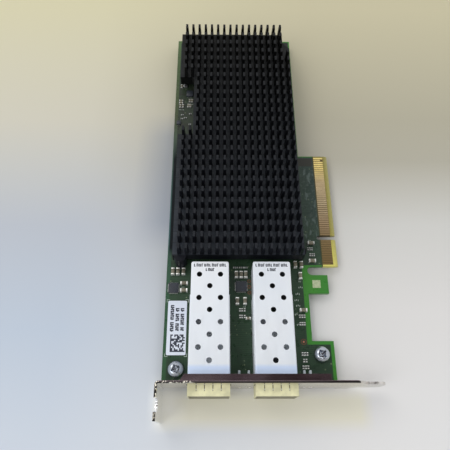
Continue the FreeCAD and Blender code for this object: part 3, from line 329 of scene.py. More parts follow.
# ---------------------------------------------------------------- finishes
class Finish:
    """A material, with short calls for the nodes that its colour, gloss and relief are made of."""

    def __init__(self, name, colour, roughness, metallic=0.0):
        self.material = bpy.data.materials.new(name)
        self.material.use_nodes = True
        self.tree = self.material.node_tree
        self.tree.nodes.clear()
        self.shader = self.node("ShaderNodeBsdfPrincipled")
        output = self.node("ShaderNodeOutputMaterial")
        self.tree.links.new(self.shader.outputs["BSDF"], output.inputs["Surface"])
        self.place = self.node("ShaderNodeTexCoord").outputs["Object"]
        self.axes = self.split(self.place)
        self.shader.inputs["Base Color"].default_value = (*colour, 1)
        self.shader.inputs["Roughness"].default_value = roughness
        self.shader.inputs["Metallic"].default_value = metallic

    def node(self, kind, **settings):
        made = self.tree.nodes.new(kind)
        for key, value in settings.items():
            setattr(made, key, value)
        return made

    def feed(self, socket, value):
        """Link a socket to another, or set it to a number."""
        if hasattr(value, "is_linked"):
            self.tree.links.new(value, socket)
        else:
            socket.default_value = value

    def split(self, vector):
        """A vector's parts along X, Y and Z."""
        made = self.node("ShaderNodeSeparateXYZ")
        self.tree.links.new(vector, made.inputs[0])
        return made.outputs

    def noise(self, scale, detail, stretch=None):
        """Cloudy pattern on object coordinates, which stretch multiplies along each axis."""
        where = self.place
        if stretch:
            mapping = self.node("ShaderNodeMapping")
            self.tree.links.new(where, mapping.inputs["Vector"])
            mapping.inputs["Scale"].default_value = stretch
            where = mapping.outputs["Vector"]
        made = self.node("ShaderNodeTexNoise")
        self.tree.links.new(where, made.inputs["Vector"])
        made.inputs["Scale"].default_value = scale
        made.inputs["Detail"].default_value = detail
        return made.outputs["Fac"]

    def cells(self, scale, output="Distance"):
        """Distance from the middle of the nearest cell, or a colour for each cell."""
        made = self.node("ShaderNodeTexVoronoi")
        self.tree.links.new(self.place, made.inputs["Vector"])
        made.inputs["Scale"].default_value = scale
        return made.outputs[output]

    def maths(self, operation, first, second):
        made = self.node("ShaderNodeMath", operation=operation)
        self.feed(made.inputs[0], first)
        self.feed(made.inputs[1], second)
        return made.outputs[0]

    def both(self, first, second):
        return self.maths("MULTIPLY", first, second)

    def either(self, first, second):
        return self.maths("MAXIMUM", first, second)

    def plus(self, first, second):
        return self.maths("ADD", first, second)

    def span(self, value, low, high, to_low=0.0, to_high=1.0):
        """Map a range of values to another, clamped."""
        made = self.node("ShaderNodeMapRange")
        self.feed(made.inputs["Value"], value)
        made.inputs["From Min"].default_value = low
        made.inputs["From Max"].default_value = high
        made.inputs["To Min"].default_value = to_low
        made.inputs["To Max"].default_value = to_high
        return made.outputs["Result"]

    def along(self, axis, low_mm, high_mm, to_low=0.0, to_high=1.0):
        """Map the stretch between two places on an axis to a range, clamped."""
        return self.span(self.axes[axis], low_mm * MM, high_mm * MM, to_low, to_high)

    def inside(self, x_low, x_high, y_low, y_high, edge_mm=0.1):
        """1 within a rectangle seen from above, 0 outside it, all in millimetres."""
        half = edge_mm / 2
        covered = self.along("X", x_low - half, x_low + half)
        covered = self.both(covered, self.along("X", x_high - half, x_high + half, 1, 0))
        covered = self.both(covered, self.along("Y", y_low - half, y_low + half))
        return self.both(covered, self.along("Y", y_high - half, y_high + half, 1, 0))

    def upward(self, low=0.6, high=0.9):
        """1 where the surface looks up, 0 where it is upright or looks down."""
        normal = self.node("ShaderNodeNewGeometry").outputs["Normal"]
        return self.span(self.split(normal)["Z"], low, high)

    def blend(self, factor, first, second, share=1.0):
        """Mix of two colours, each a socket or three numbers, with a share of the second at most."""
        if share < 1:
            factor = self.both(factor, share)
        made = self.node("ShaderNodeMix", data_type="RGBA")
        self.feed(made.inputs[0], factor)
        for socket, colour in ((made.inputs[6], first), (made.inputs[7], second)):
            self.feed(socket, colour if hasattr(colour, "is_linked") else (*colour, 1))
        return made.outputs[2]

    def ramp(self, axis, *stops):
        """Colour that runs along an axis through stops, each a place and three numbers."""
        low, high = stops[0][0], stops[-1][0]
        made = self.node("ShaderNodeValToRGB")
        self.feed(made.inputs[0], self.along(axis, low, high))
        elements = made.color_ramp.elements
        for place, _ in stops[1:-1]:
            elements.new((place - low) / (high - low))
        for element, (_, colour) in zip(elements, stops):
            element.color = (*colour, 1)
        return made.outputs["Color"]

    def colour(self, value):
        self.feed(self.shader.inputs["Base Color"], value)

    def gloss(self, value):
        self.feed(self.shader.inputs["Roughness"], value)

    def relief(self, height, strength, depth_mm):
        """Bump from a height."""
        made = self.node("ShaderNodeBump")
        self.feed(made.inputs["Height"], height)
        made.inputs["Strength"].default_value = strength
        made.inputs["Distance"].default_value = depth_mm * MM
        self.tree.links.new(made.outputs["Normal"], self.shader.inputs["Normal"])


def box_mm(node):
    """A CAD node's lowest and highest corners in millimetres."""
    low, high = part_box(node)
    return low / MM, high / MM


def tinted(colour, factor, lift=0.0):
    """A colour made darker or lighter."""
    return tuple(min(1, factor * value + lift) for value in colour)


def copper_traces(finish, across, along, pitch_mm, jog_mm, period_mm):
    """Bundles of parallel lines that step sideways at 45 degrees."""
    walk = finish.maths("PINGPONG", along, period_mm * MM)
    low = (period_mm - jog_mm) / 2 * MM
    step = finish.span(walk, low, low + jog_mm * MM, 0, jog_mm * MM)
    lane = finish.plus(across, step)
    wave = finish.maths("PINGPONG", lane, pitch_mm * MM / 2)
    return finish.span(wave, 0.055 * MM, 0.085 * MM, 1, 0)


def board_traces(finish):
    """Patches of traces along the card and patches of traces across it."""
    x, y = finish.axes["X"], finish.axes["Y"]
    lengthways = copper_traces(finish, x, y, 0.62, 2.4, 17)
    crossways = copper_traces(finish, y, x, 0.7, 1.8, 13)
    field = finish.noise(90, 1)
    return finish.either(finish.both(lengthways, finish.span(field, 0.52, 0.54)),
                         finish.both(crossways, finish.span(field, 0.48, 0.46)))


def copper_pour(finish):
    """1 where copper lies under the mask, a little inside the outlines of board, foot and tongue."""
    low, high = box_mm("circuit_board")
    contact_low, contact_high = box_mm("edge_contacts_top")
    margin = 1.5
    near_margin = 0.9
    pour = finish.inside(low.x + margin, SHOULDER_MM - 1.9, low.y + near_margin, high.y - margin)
    foot = finish.inside(SHOULDER_MM - 3, FOOT_RIGHT_MM - 1.3, low.y + near_margin, FOOT_STEP_MM - 1.3)
    tongue = finish.inside(SHOULDER_MM - 3, contact_low.x - 0.35, contact_low.y - 0.3,
                           contact_high.y + 0.3)
    return finish.either(finish.either(pour, foot), tongue)


def bright_mask(finish, cloud):
    """Bright green of the mask over bare laminate, along the board's edges."""
    low, high = box_mm("circuit_board")
    # Painted light and shade: along the left edge the tone changes along the board's length, teal near
    # the key.
    left = finish.ramp("Y", (low.y, (0.03, 0.085, 0.035)), (-8, (0.03, 0.09, 0.05)),
                       (0, (0.05, 0.15, 0.15)), (60, (0.055, 0.07, 0.03)), (high.y, (0.085, 0.15, 0.05)))
    right = finish.blend(finish.span(cloud, 0.3, 0.7), (0.035, 0.19, 0.025), (0.055, 0.225, 0.03))
    return finish.blend(finish.along("X", low.x + 5, low.x + 7), left, right)


def dark_mask(finish, cloud, lines):
    """Dark green of the mask over copper: dusty in the heatsink's cut-out, and beside the key tinted
    teal by painted light, with pale speckles.
    """
    left = box_mm("circuit_board")[0].x
    cutout = box_mm("flash_chip")[0]
    key_side = finish.both(finish.along("X", -20, -8), finish.along("Y", -10, 10))
    dark = finish.blend(finish.span(cloud, 0.35, 0.65), (0.019, 0.039, 0.023), (0.028, 0.057, 0.03))
    # Painted light: a teal tint beside the key.
    dark = finish.blend(key_side, dark, (0.014, 0.03, 0.028), 0.6)
    dusty = finish.both(finish.inside(left - 1, cutout.x + 6, cutout.y - 30, cutout.y + 8, 6),
                        finish.span(cloud, 0.2, 0.6, 0.7, 1))
    dark = finish.blend(dusty, dark, (0.027, 0.026, 0.017), 0.85)
    speckled = finish.both(finish.span(finish.noise(700, 4), 0.56, 0.66), key_side)
    dark = finish.blend(speckled, dark, (0.09, 0.11, 0.1), 0.5)

    line_green = finish.blend(key_side, (0.04, 0.1, 0.045), (0.075, 0.1, 0.085))
    traced = finish.blend(lines, dark, line_green, 0.6)
    strokes = finish.span(finish.noise(620, 2, (1, 0.35, 1)), 0.57, 0.61)
    strokes = finish.both(strokes, finish.inside(*TONGUE_TRACES_MM, 1.5))
    traced = finish.blend(strokes, traced, (0.1, 0.135, 0.12), 0.7)
    return finish.blend(finish.inside(*TONGUE_END_MM, 0.3), traced, (0.026, 0.026, 0.018))


def finger_laminate(finish, weave):
    """Bare laminate round the gold fingers, brighter towards the bracket."""
    low, high = box_mm("edge_contacts_top")
    olive = finish.ramp("Y", (low.y, (0.7, 0.64, 0.15)), (-3, (0.54, 0.48, 0.1)),
                        (2, (0.31, 0.27, 0.055)), (high.y, (0.27, 0.23, 0.055)))
    outer = finish.along("X", high.x + 0.5, high.x + 2)
    laminate = finish.blend(outer, olive, (0.42, 0.4, 0.16), 0.6)
    laminate = finish.blend(weave, laminate, (0.2, 0.17, 0.05), 0.3)
    between = finish.inside(low.x - 0.1, high.x + 0.1, low.y, high.y)
    laminate = finish.blend(between, laminate, (0.11, 0.075, 0.022))
    root = finish.along("X", low.x - 0.15, low.x - 0.05, 1, 0)
    return finish.blend(root, laminate, (0.045, 0.045, 0.018))


def solder_mask():
    """Green board: bright along its edges, dark over copper, bare round the fingers, with painted shade
    beside the heatsink and at its far corner.
    """
    finish = Finish("solder_mask", (0.02, 0.06, 0.03), roughness=0.3)
    low, high = box_mm("circuit_board")
    cloud = finish.noise(55, 3)
    weave = finish.noise(900, 2)
    pour = copper_pour(finish)
    lines = board_traces(finish)
    green = finish.blend(pour, bright_mask(finish, cloud), dark_mask(finish, cloud, lines))

    via_field = 620
    dots = finish.span(finish.cells(via_field), 0.14, 0.19, 1, 0)
    crowd = finish.span(finish.noise(170, 1), 0.54, 0.6)
    vias = finish.both(finish.both(dots, crowd), pour)
    green = finish.blend(vias, green, (0.17, 0.22, 0.12))
    holes = finish.both(vias, finish.span(finish.cells(via_field), 0.05, 0.08, 1, 0))
    green = finish.blend(holes, green, (0.01, 0.012, 0.01))

    component_side = finish.along("Z", -0.3, -0.15)
    # Painted shade: a near-black strip of the board beside the heatsink.
    painted_shade_beside_sink = finish.both(finish.inside(low.x + 0.45, low.x + 8, low.y, high.y, 0.6),
                              finish.both(finish.along("Y", -9, -5), finish.along("Y", 50, 38)))
    painted_shade_beside_sink = finish.both(painted_shade_beside_sink, component_side)
    green = finish.blend(painted_shade_beside_sink, green, (0.005, 0.008, 0.01))
    # Painted shade: a dark rectangle on the board at its far corner beside the heatsink.
    painted_shade_far_corner = finish.inside(SHOULDER_MM - 8, SHOULDER_MM - 0.6, high.y - 7.5, high.y - 0.6, 0.5)
    green = finish.blend(finish.both(painted_shade_far_corner, component_side), green, (0.012, 0.014, 0.01))
    contact_low, contact_high = box_mm("edge_contacts_top")
    bare = finish.inside(contact_low.x - 0.5, 1, contact_low.y - 1.3, contact_high.y + 1.3)
    finish.colour(finish.blend(bare, green, finger_laminate(finish, weave)))

    gloss = finish.span(finish.noise(300, 3), 0.3, 0.7, 0.24, 0.38)
    finish.gloss(finish.plus(gloss, finish.both(painted_shade_beside_sink, 0.5)))
    finish.shader.inputs["Specular IOR Level"].default_value = 0.3
    ridges = finish.plus(finish.both(lines, 0.5), finish.both(vias, 0.7))
    finish.relief(finish.plus(ridges, finish.both(weave, 0.2)), 0.35, 0.04)
    return finish.material


def gold_plate():
    """Gold fingers, brownish towards the key and brighter towards the far end, a run of painted light.
    """
    finish = Finish("gold_plate", (0.72, 0.53, 0.24), roughness=0.34, metallic=0.8)
    scuffs = finish.span(finish.noise(500, 4, (0.3, 1, 1)), 0.35, 0.65)
    base = finish.ramp("Y", (-12, (0.19, 0.12, 0.045)), (0, (0.26, 0.18, 0.085)),
                       (6, (0.37, 0.255, 0.15)), (15, (0.46, 0.36, 0.22)), (26, (0.66, 0.5, 0.29)),
                       (33, (0.85, 0.66, 0.24)), (45, (0.76, 0.6, 0.21)))
    finish.colour(finish.blend(scuffs, base, (0.25, 0.17, 0.08), 0.25))
    finish.gloss(finish.span(scuffs, 0, 1, 0.26, 0.42))
    finish.relief(finish.noise(1500, 2, (0.2, 2, 1)), 0.1, 0.02)
    return finish.material


def sheet_metal(name, colour, roughness):
    """Rolled and plated sheet with a fine grain and a cloudy gloss."""
    finish = Finish(name, colour, roughness=roughness, metallic=1.0)
    grain = finish.noise(700, 3, (0.08, 1, 1))
    cloud = finish.noise(45, 4)
    finish.colour(finish.blend(finish.span(cloud, 0.4, 0.65), colour, tinted(colour, 0.86)))
    finish.gloss(finish.plus(finish.span(cloud, 0.3, 0.7, roughness - 0.05, roughness + 0.07),
                             finish.span(grain, 0.3, 0.7, -0.02, 0.03)))
    finish.relief(grain, 0.3, 0.01)
    return finish.material


def bracket_nickel():
    """Bright plated bracket: a painted brown reflection on its flange, a painted dark reflection with
    painted glints along the bend, a tab painted lighter, and rippled edges at its two ends.
    """
    finish = Finish("bracket_nickel", (0.72, 0.7, 0.67), roughness=0.16, metallic=1.0)
    low, high = box_mm("bracket")
    flange_rear = low.y + 2.95
    tab_thick = 1.6
    tongue_long = 6
    grain = finish.noise(800, 3, (0.1, 1, 1))
    cloud = finish.noise(60, 4)
    base = finish.blend(finish.span(cloud, 0.35, 0.7), (0.76, 0.74, 0.7), (0.64, 0.61, 0.57))
    # Painted light: the tab is lighter, standing for the bright table that it mirrors.
    tab = finish.inside(low.x - 1, low.x + tab_thick, low.y - 1, PLATE_FRONT_MM - 0.2)
    base = finish.blend(tab, base, (0.97, 0.97, 0.96))

    # Painted reflection: brown streaks on the flange, violet towards its rear, stand for dark things
    # that it mirrors.
    streaks = finish.noise(260, 3, (0.06, 3, 1))
    flange_painted_reflection = finish.blend(finish.span(streaks, 0.35, 0.65), (0.24, 0.13, 0.085), (0.62, 0.4, 0.3))
    rear = finish.along("Y", flange_rear - 0.7, flange_rear - 0.3)
    flange_painted_reflection = finish.blend(rear, flange_painted_reflection, (0.42, 0.34, 0.4), 0.8)
    flange = finish.both(finish.along("Z", high.z - 0.3, high.z - 0.1), finish.upward(0.9, 0.98))
    plain = finish.blend(flange, base, flange_painted_reflection)

    # Painted reflection: a near-black line along the bend, with painted glints at its left end.
    painted_glints = finish.both(finish.span(finish.noise(900, 2), 0.5, 0.54),
                         finish.along("X", low.x + 14, low.x + 11))
    bend_painted_reflection = finish.blend(painted_glints, (0.035, 0.03, 0.028), (1.0, 0.95, 0.8))
    bend = finish.both(finish.along("Y", PLATE_FRONT_MM + 0.75, PLATE_FRONT_MM + 0.55),
                       finish.along("Z", high.z - 0.75, high.z - 0.5))
    finish.colour(finish.blend(bend, plain, bend_painted_reflection))
    finish.gloss(finish.span(cloud, 0.3, 0.7, 0.12, 0.24))

    ends = finish.either(finish.inside(low.x - 1, low.x + tab_thick, low.y - 1, high.y, 0.4),
                         finish.inside(high.x - tongue_long, high.x + 1, low.y - 1, high.y, 0.4))
    ripple = finish.both(finish.noise(420, 2), finish.both(ends, finish.upward()))
    finish.relief(finish.plus(finish.both(ripple, 40), grain), 0.6, 0.012)
    return finish.material


def cage_tin():
    """Matte tinned sheet, pale and slightly cloudy, with a painted bluish reflection on its top beside
    the bracket and painted shade on the floor below the last vent.
    """
    finish = Finish("cage_tin", (0.82, 0.85, 0.88), roughness=0.42, metallic=0.3)
    cloud = finish.noise(40, 4)
    grain = finish.noise(900, 3, (1, 0.1, 1))
    base = finish.blend(finish.span(cloud, 0.35, 0.65), (0.77, 0.81, 0.86), (0.83, 0.85, 0.875))
    # Painted reflection: a bluish band on the tops just behind the bracket.
    band_high = box_mm("status_lights")[0].y + 2.6
    board_near = box_mm("circuit_board")[0].y
    band = finish.both(finish.along("Y", band_high, band_high - 1.2),
                       finish.along("Y", board_near - 0.5, board_near))
    band = finish.both(band, finish.upward(0.5, 0.9))
    base = finish.blend(band, base, (0.6, 0.72, 0.95), 0.85)
    lip = finish.along("Y", board_near - 3.4, board_near - 3.0, 1, 0)
    base = finish.blend(lip, base, (0.4, 0.37, 0.27))
    # Painted shade on the cage floor seen through the last vent.
    painted_vent_shade = finish.both(finish.inside(*VENT_SHADE_MM, 0.6), finish.along("Z", 3, 2))
    finish.colour(finish.blend(painted_vent_shade, base, (0.02, 0.02, 0.024)))
    finish.gloss(finish.span(grain, 0.3, 0.7, 0.36, 0.5))
    finish.relief(grain, 0.12, 0.01)
    return finish.material


def anodised_deck(finish, far):
    """Deck between the pins in painted light: grey-blue near the ports, nearly black far off, with
    painted shade beside each row.
    """
    streak = finish.noise(260, 3, (1, 1, 0.15))
    cool = finish.blend(finish.span(streak, 0.35, 0.65), (0.03, 0.036, 0.046), (0.048, 0.055, 0.067))
    warm = finish.blend(finish.span(streak, 0.35, 0.65), (0.008, 0.0075, 0.006), (0.013, 0.0125, 0.01))
    deck = finish.blend(far, cool, warm)
    # Painted shade: a dark line on the deck at the foot of each row's front faces.
    behind_first_row = finish.maths("SUBTRACT", finish.axes["Y"], FIRST_ROW_MM * MM)
    from_row = finish.maths("PINGPONG", behind_first_row, ROW_PITCH_MM * MM / 2)
    return finish.blend(finish.span(from_row, 0.1 * MM, 0.2 * MM, 0.7, 0), deck, (0.01, 0.011, 0.015))


def black_anodise():
    """Black anodised aluminium with a fine matte grain, in painted light and shade: bluish near the
    ports, browner far off, upright faces darker than the tops and the deck.
    """
    finish = Finish("black_anodise", (0.02, 0.021, 0.026), roughness=0.42)
    low, high = box_mm("heatsink")
    grain = finish.noise(1400, 3)
    far = finish.along("Y", low.y, high.y)
    upward = finish.upward()
    deck_level = high.z - PIN_BAND_MM
    above_base = finish.both(finish.along("Z", deck_level - 0.2, deck_level - 0.1),
                             finish.along("Z", deck_level + 1, deck_level + 2, 1, 0))
    behind_ear = finish.along("Y", FIRST_ROW_MM - 0.3, FIRST_ROW_MM - 0.2)
    on_deck = finish.both(finish.both(upward, above_base), behind_ear)
    # Painted shade on the upright faces and painted light on the tops, both fading away from the ports;
    # the tops also get lighter specks.
    upright = finish.blend(far, (0.007, 0.008, 0.012), (0.004, 0.004, 0.003))
    top = finish.blend(far, (0.013, 0.015, 0.019), (0.004, 0.004, 0.003))
    tip = finish.both(finish.along("Z", high.z - 0.3, high.z - 0.1), upward)
    specked_painted_tops = finish.blend(finish.span(grain, 0.3, 0.7, 0, 0.3), top, (0.03, 0.032, 0.04))
    body = finish.blend(tip, upright, specked_painted_tops)
    finish.colour(finish.blend(on_deck, body, anodised_deck(finish, far)))
    finish.gloss(finish.span(grain, 0.3, 0.7, 0.34, 0.5))
    finish.shader.inputs["Specular IOR Level"].default_value = 0.16
    finish.relief(grain, 0.2, 0.02)
    return finish.material


def moulded(name, colour, roughness, grain=1600):
    """Moulded plastic or epoxy with a fine spark-eroded grain."""
    finish = Finish(name, colour, roughness=roughness)
    speckle = finish.noise(grain, 3)
    finish.colour(finish.blend(finish.span(speckle, 0.4, 0.7), colour, tinted(colour, 1.35, 0.004)))
    finish.gloss(finish.span(speckle, 0.3, 0.7, roughness - 0.06, roughness + 0.08))
    finish.relief(speckle, 0.25, 0.015)
    return finish.material


def fired_ceramic(name, first, second):
    """Ceramic chip bodies whose shade differs a little from piece to piece."""
    finish = Finish(name, first, roughness=0.35)
    each = finish.cells(330, "Color")
    finish.colour(finish.blend(finish.both(finish.noise(900, 3), each), first, second))
    finish.gloss(finish.span(finish.noise(700, 2), 0.3, 0.7, 0.28, 0.42))
    finish.relief(finish.noise(1800, 2), 0.15, 0.01)
    return finish.material


def tin_solder(name, colour, roughness):
    """Tin plate or solder, a little lumpy, bright behind the bracket, and darkened by painted shade from
    beside the heatsink onwards.
    """
    finish = Finish(name, colour, roughness=roughness, metallic=0.75)
    lumps = finish.noise(900, 3)
    bright = finish.blend(finish.span(lumps, 0.35, 0.7), colour, tinted(colour, 0.85))
    # Painted shade: half as bright from beside the heatsink onwards.
    painted_shade_beside_sink = finish.along("Y", -14, -6)
    finish.colour(finish.blend(painted_shade_beside_sink, bright, tinted(colour, 0.5)))
    finish.gloss(finish.span(lumps, 0.3, 0.7, roughness - 0.08, roughness + 0.12))
    finish.relief(lumps, 0.3, 0.03)
    return finish.material


def label_stock():
    """Bluish white paper."""
    finish = Finish("label_stock", (0.7, 0.74, 0.82), roughness=0.4)
    finish.colour(finish.blend(finish.noise(80, 3), (0.66, 0.71, 0.82), (0.74, 0.77, 0.84)))
    finish.gloss(finish.span(finish.noise(400, 3), 0.3, 0.7, 0.34, 0.5))
    finish.relief(finish.noise(900, 3), 0.1, 0.01)
    return finish.material


def printed_ink(name, colour):
    """Thin ink, a little uneven."""
    finish = Finish(name, colour, roughness=0.55)
    thin = finish.span(finish.noise(2500, 3), 0.45, 0.7)
    finish.colour(finish.blend(thin, colour, tinted(colour, 1.4, 0.01)))
    finish.gloss(finish.span(finish.noise(900, 2), 0.3, 0.7, 0.45, 0.65))
    finish.relief(finish.noise(2500, 2), 0.1, 0.005)
    return finish.material


def light_resin():
    """Milky resin of the status lights."""
    finish = Finish("light_resin", (0.75, 0.8, 0.62), roughness=0.15)
    finish.shader.inputs["Transmission Weight"].default_value = 0.3
    finish.colour(finish.blend(finish.noise(900, 2), (0.6, 0.7, 0.75), (0.8, 0.85, 0.9)))
    finish.gloss(finish.span(finish.noise(600, 2), 0.3, 0.7, 0.1, 0.25))
    return finish.material


def hook_tin():
    """Pale tinned pad with fine green specks."""
    finish = Finish("pad_tinned", (0.55, 0.52, 0.4), roughness=0.4)
    speck = finish.span(finish.noise(1300, 2), 0.45, 0.6)
    finish.colour(finish.blend(speck, (0.45, 0.5, 0.31), (0.26, 0.36, 0.17), 0.6))
    finish.gloss(finish.span(speck, 0, 1, 0.3, 0.5))
    finish.relief(speck, 0.3, 0.02)
    return finish.material


MASK = solder_mask()
GOLD = gold_plate()
TIN = cage_tin()
NICKEL = bracket_nickel()
ZINC = sheet_metal("screw_zinc", (0.42, 0.45, 0.5), 0.17)
SPRING = moulded("ring_spring", (0.66, 0.63, 0.39), 0.38, 250)
LID = sheet_metal("lid_nickel", (0.55, 0.55, 0.56), 0.35)
ANODISE = black_anodise()
EPOXY = moulded("chip_epoxy", (0.021, 0.025, 0.034), 0.42)
CONNECTOR = moulded("connector_black", (0.018, 0.018, 0.018), 0.5)
PAD = moulded("pad_silicone", (0.45, 0.46, 0.48), 0.7, 700)
TAN = fired_ceramic("ceramic_tan", (0.1, 0.09, 0.06), (0.36, 0.33, 0.24))
FILM = fired_ceramic("resistor_film", (0.1, 0.11, 0.1), (0.2, 0.21, 0.2))
PLATE = tin_solder("tin_plate", (0.97, 0.97, 0.92), 0.3)
SOLDER = tin_solder("solder", (0.42, 0.43, 0.42), 0.34)
LABEL = label_stock()
INK = printed_ink("label_ink", (0.018, 0.022, 0.04))
CAGE_INK = printed_ink("cage_ink", (0.02, 0.025, 0.04))
LEGEND = printed_ink("board_legend", (0.42, 0.47, 0.42))
COPPER = tin_solder("bare_copper", (0.6, 0.2, 0.13), 0.4)
OLD_COPPER = tin_solder("old_copper", (0.2, 0.08, 0.05), 0.5)
HOOK_PAD = hook_tin()
RESIN = light_resin()
SLOT_SHADE = moulded("slot_shade", (0.12, 0.1, 0.045), 0.6)

FINISHES = {
    "board_laminate": MASK, "gold_plate": GOLD, "bracket_steel": NICKEL, "screw_steel": ZINC,
    "cage_metal": TIN, "ring_metal": SPRING, "connector_plastic": CONNECTOR, "black_anodise": ANODISE,
    "pad_silicone": PAD, "lid_metal": LID, "chip_epoxy": EPOXY, "label_paper": LABEL,
    "light_lens": RESIN, "ceramic_tan": TAN, "tin_plate": PLATE, "resistor_black": FILM,
}


def dress_nodes():
    """Give every CAD node the finish of its slot."""
    for node, slot in SLOTS.items():
        mesh = NODES[node].data
        mesh.materials.clear()
        mesh.materials.append(FINISHES[slot])


# ---------------------------------------------------------------- heatsink
def make_sink_pin(length, height):
    """One tapered pin with broken edges, standing on the origin."""
    half = PIN_ROOT_MM * MM / 2
    pin = new_block((-half, -length / 2, -PIN_SINK_MM * MM), (half, length / 2, height))
    pick_faces(pin, lambda middle, normal: normal.z > 0.9)
    bpy.ops.transform.resize(value=(PIN_TIP_MM / PIN_ROOT_MM, 1, 1), center_override=(0, 0, height))
    done()
    pick_edges(pin, lambda one, two: max(one.z, two.z) > 0)
    bpy.ops.mesh.bevel(offset=0.1 * MM, segments=1, affect="EDGES")
    done()
    return pin


def make_heatsink():
    """Base with its bosses, and the field of pins on it."""
    pin_band = PIN_BAND_MM * MM
    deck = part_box("heatsink")[1].z - pin_band
    base = cut_level(cad_copy("heatsink"), deck - WELD, keep_above=False)
    break_edges(base, 0.22, "heatsink_base")
    dress(base, ANODISE, "black_anodise", "heatsink")

    boxes = loose_boxes(cut_level(cad_copy("heatsink"), deck + pin_band / 2, keep_above=True))
    length = boxes[0][1].y - boxes[0][0].y
    pin = make_sink_pin(length, pin_band)
    middles = [(low + high) / 2 for low, high in boxes]
    pins = stamp(pin, [Vector((middle.x, middle.y, deck)) for middle in middles], "heatsink_pins")
    shade(pins, 25)
    dress(pins, ANODISE, "black_anodise", "heatsink")


# ---------------------------------------------------------------- screws
def cross_tool(centre, top):
    """Tapered cross that is cut into a screw head."""
    length_mm = 3.9
    width_mm = 0.85
    depth_mm = 1.5
    taper = 0.45
    arms = []
    for size in ((length_mm, width_mm), (width_mm, length_mm)):
        half = Vector((size[0] * MM / 2, size[1] * MM / 2, 0))
        low = Vector((centre.x, centre.y, top - depth_mm * MM)) - half
        high = Vector((centre.x, centre.y, top + 0.4 * MM)) + half
        arm = new_block(low, high)
        pick_faces(arm, lambda middle, normal: normal.z < -0.9)
        bpy.ops.transform.resize(value=(taper, taper, 1), center_override=(centre.x, centre.y, low.z))
        done()
        arms.append(arm)
    add_modifier(arms[0], "BOOLEAN", operation="UNION", solver="EXACT", object=arms[1])
    bpy.data.objects.remove(arms[1])
    return arms[0]


def make_screw_head(centre, radius, top, turn):
    """Pan head with a cross recess, which is turned by some degrees, and a well in its middle."""
    crown = 1.95 * MM
    well_radius = 0.62 * MM
    head = new_disc((centre.x, centre.y, top / 2), radius, top, 64)
    pick_faces(head, lambda middle, normal: normal.z > 0.9)
    bpy.ops.mesh.bevel(offset=crown, segments=10, affect="EDGES")
    done()
    carve(head, turned(cross_tool(centre, top), turn, centre))
    well = new_disc((centre.x, centre.y, top), well_radius, 2.2 * MM, 24)
    carve(head, well)
    return soften(head, 0.07, 2)


def make_bracket_screws():
    """Pan heads with collars, on threaded shanks."""
    collar = 0.3 * MM
    thread_pitch = 0.4 * MM
    thread_radius = 1.45 * MM
    parts = []
    for (low, high), turn in zip(loose_boxes(cad_copy("bracket_screws")), (25, 40)):
        centre = (low + high) / 2
        radius = (high.x - low.x) / 2
        parts.append(make_screw_head(centre, radius, high.z, turn))
        rim = new_disc((centre.x, centre.y, collar / 2), radius, collar, 64)
        parts.append(soften(rim, 0.1, 3))
        level = low.z
        while level < -0.1 * MM:
            middle = (centre.x, centre.y, level + thread_pitch / 2)
            ridge = new_disc(middle, thread_radius, thread_pitch, 32)
            parts.append(soften(ridge, 0.17, 2))
            level += thread_pitch
    screws = shade(join(parts, "bracket_screw_heads"), 30)
    dress(screws, ZINC, "screw_steel", "bracket_screws")


# ---------------------------------------------------------------- chips
def lead_row(low, high, along, count, size_mm):
    """Places of one chip's leads along its two sides that run along an axis."""
    other = 1 - along
    reach = LEAD_REACH_MM * MM
    pitch = (high[along] - low[along]) / (count + 1)
    places = []
    for place in range(count):
        for side in (low[other] - reach, high[other] + reach - size_mm[other] * MM):
            corner = Vector((0, 0, low.z))
            corner[along] = low[along] + pitch * (place + 1) - size_mm[along] * MM / 2
            corner[other] = side
            places.append(corner)
    return places


def make_chip(node, leads_x, leads_y):
    """Moulded chip with a dimple at its first pin and rows of leads on its sides."""
    low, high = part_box(node)
    stand = Vector((0, 0, 0.05 * MM))
    inset = 0.55 * MM
    body = soften(new_block(low + stand, high), 0.07, 2)
    dimple = new_disc((low.x + inset, high.y - inset, high.z), 0.2 * MM, 0.1 * MM, 20)
    carve(body, dimple)
    body.name = node + "_body"
    dress_as(node, shade(body))
    rows = []
    for along, count in ((0, leads_x), (1, leads_y)):
        if not count:
            continue
        size_mm = [LEAD_WIDTH_MM, LEAD_WIDTH_MM, LEAD_THICK_MM]
        size_mm[1 - along] = LEAD_LENGTH_MM
        seed = soften(new_block((0, 0, 0), [value * MM for value in size_mm]), 0.04, 1)
        rows.append(stamp(seed, lead_row(low, high, along, count, size_mm), "leads"))
    leads = shade(join(rows, node + "_leads"))
    dress(leads, PLATE, "tin_plate")


# ---------------------------------------------------------------- rounded parts
def make_rounded_parts():
    """Plain parts as blocks with rounded edges."""
    for node, rounding_mm in ROUNDED_MM.items():
        boxes = loose_boxes(cad_copy(node))
        dress_as(node, blocks_like(boxes, "rounded_" + node, rounding_mm))


def make_solder_feet(node, name, flip):
    """Solder pads that spread a little beyond each terminal."""
    spread = Vector((0.12 * MM, 0.12 * MM, 0))
    thick = 0.09 * MM
    boxes = []
    for low, high in loose_boxes(cad_copy(node)):
        bottom = high.z - thick if flip else low.z
        top = high.z if flip else low.z + thick
        boxes.append((Vector((low.x, low.y, bottom)) - spread, Vector((high.x, high.y, top)) + spread))
    dress(blocks_like(boxes, name, 0.05, 1), SOLDER, "tin_plate")


# ---------------------------------------------------------------- print and small copper
def bars(places, size_mm, name, finish, slot):
    """Thin printed bars, each given by its lower corner."""
    seed = soften(new_block((0, 0, 0), [value * MM for value in size_mm]), 0.01, 1)
    return dress(stamp(seed, places, name), finish, slot)


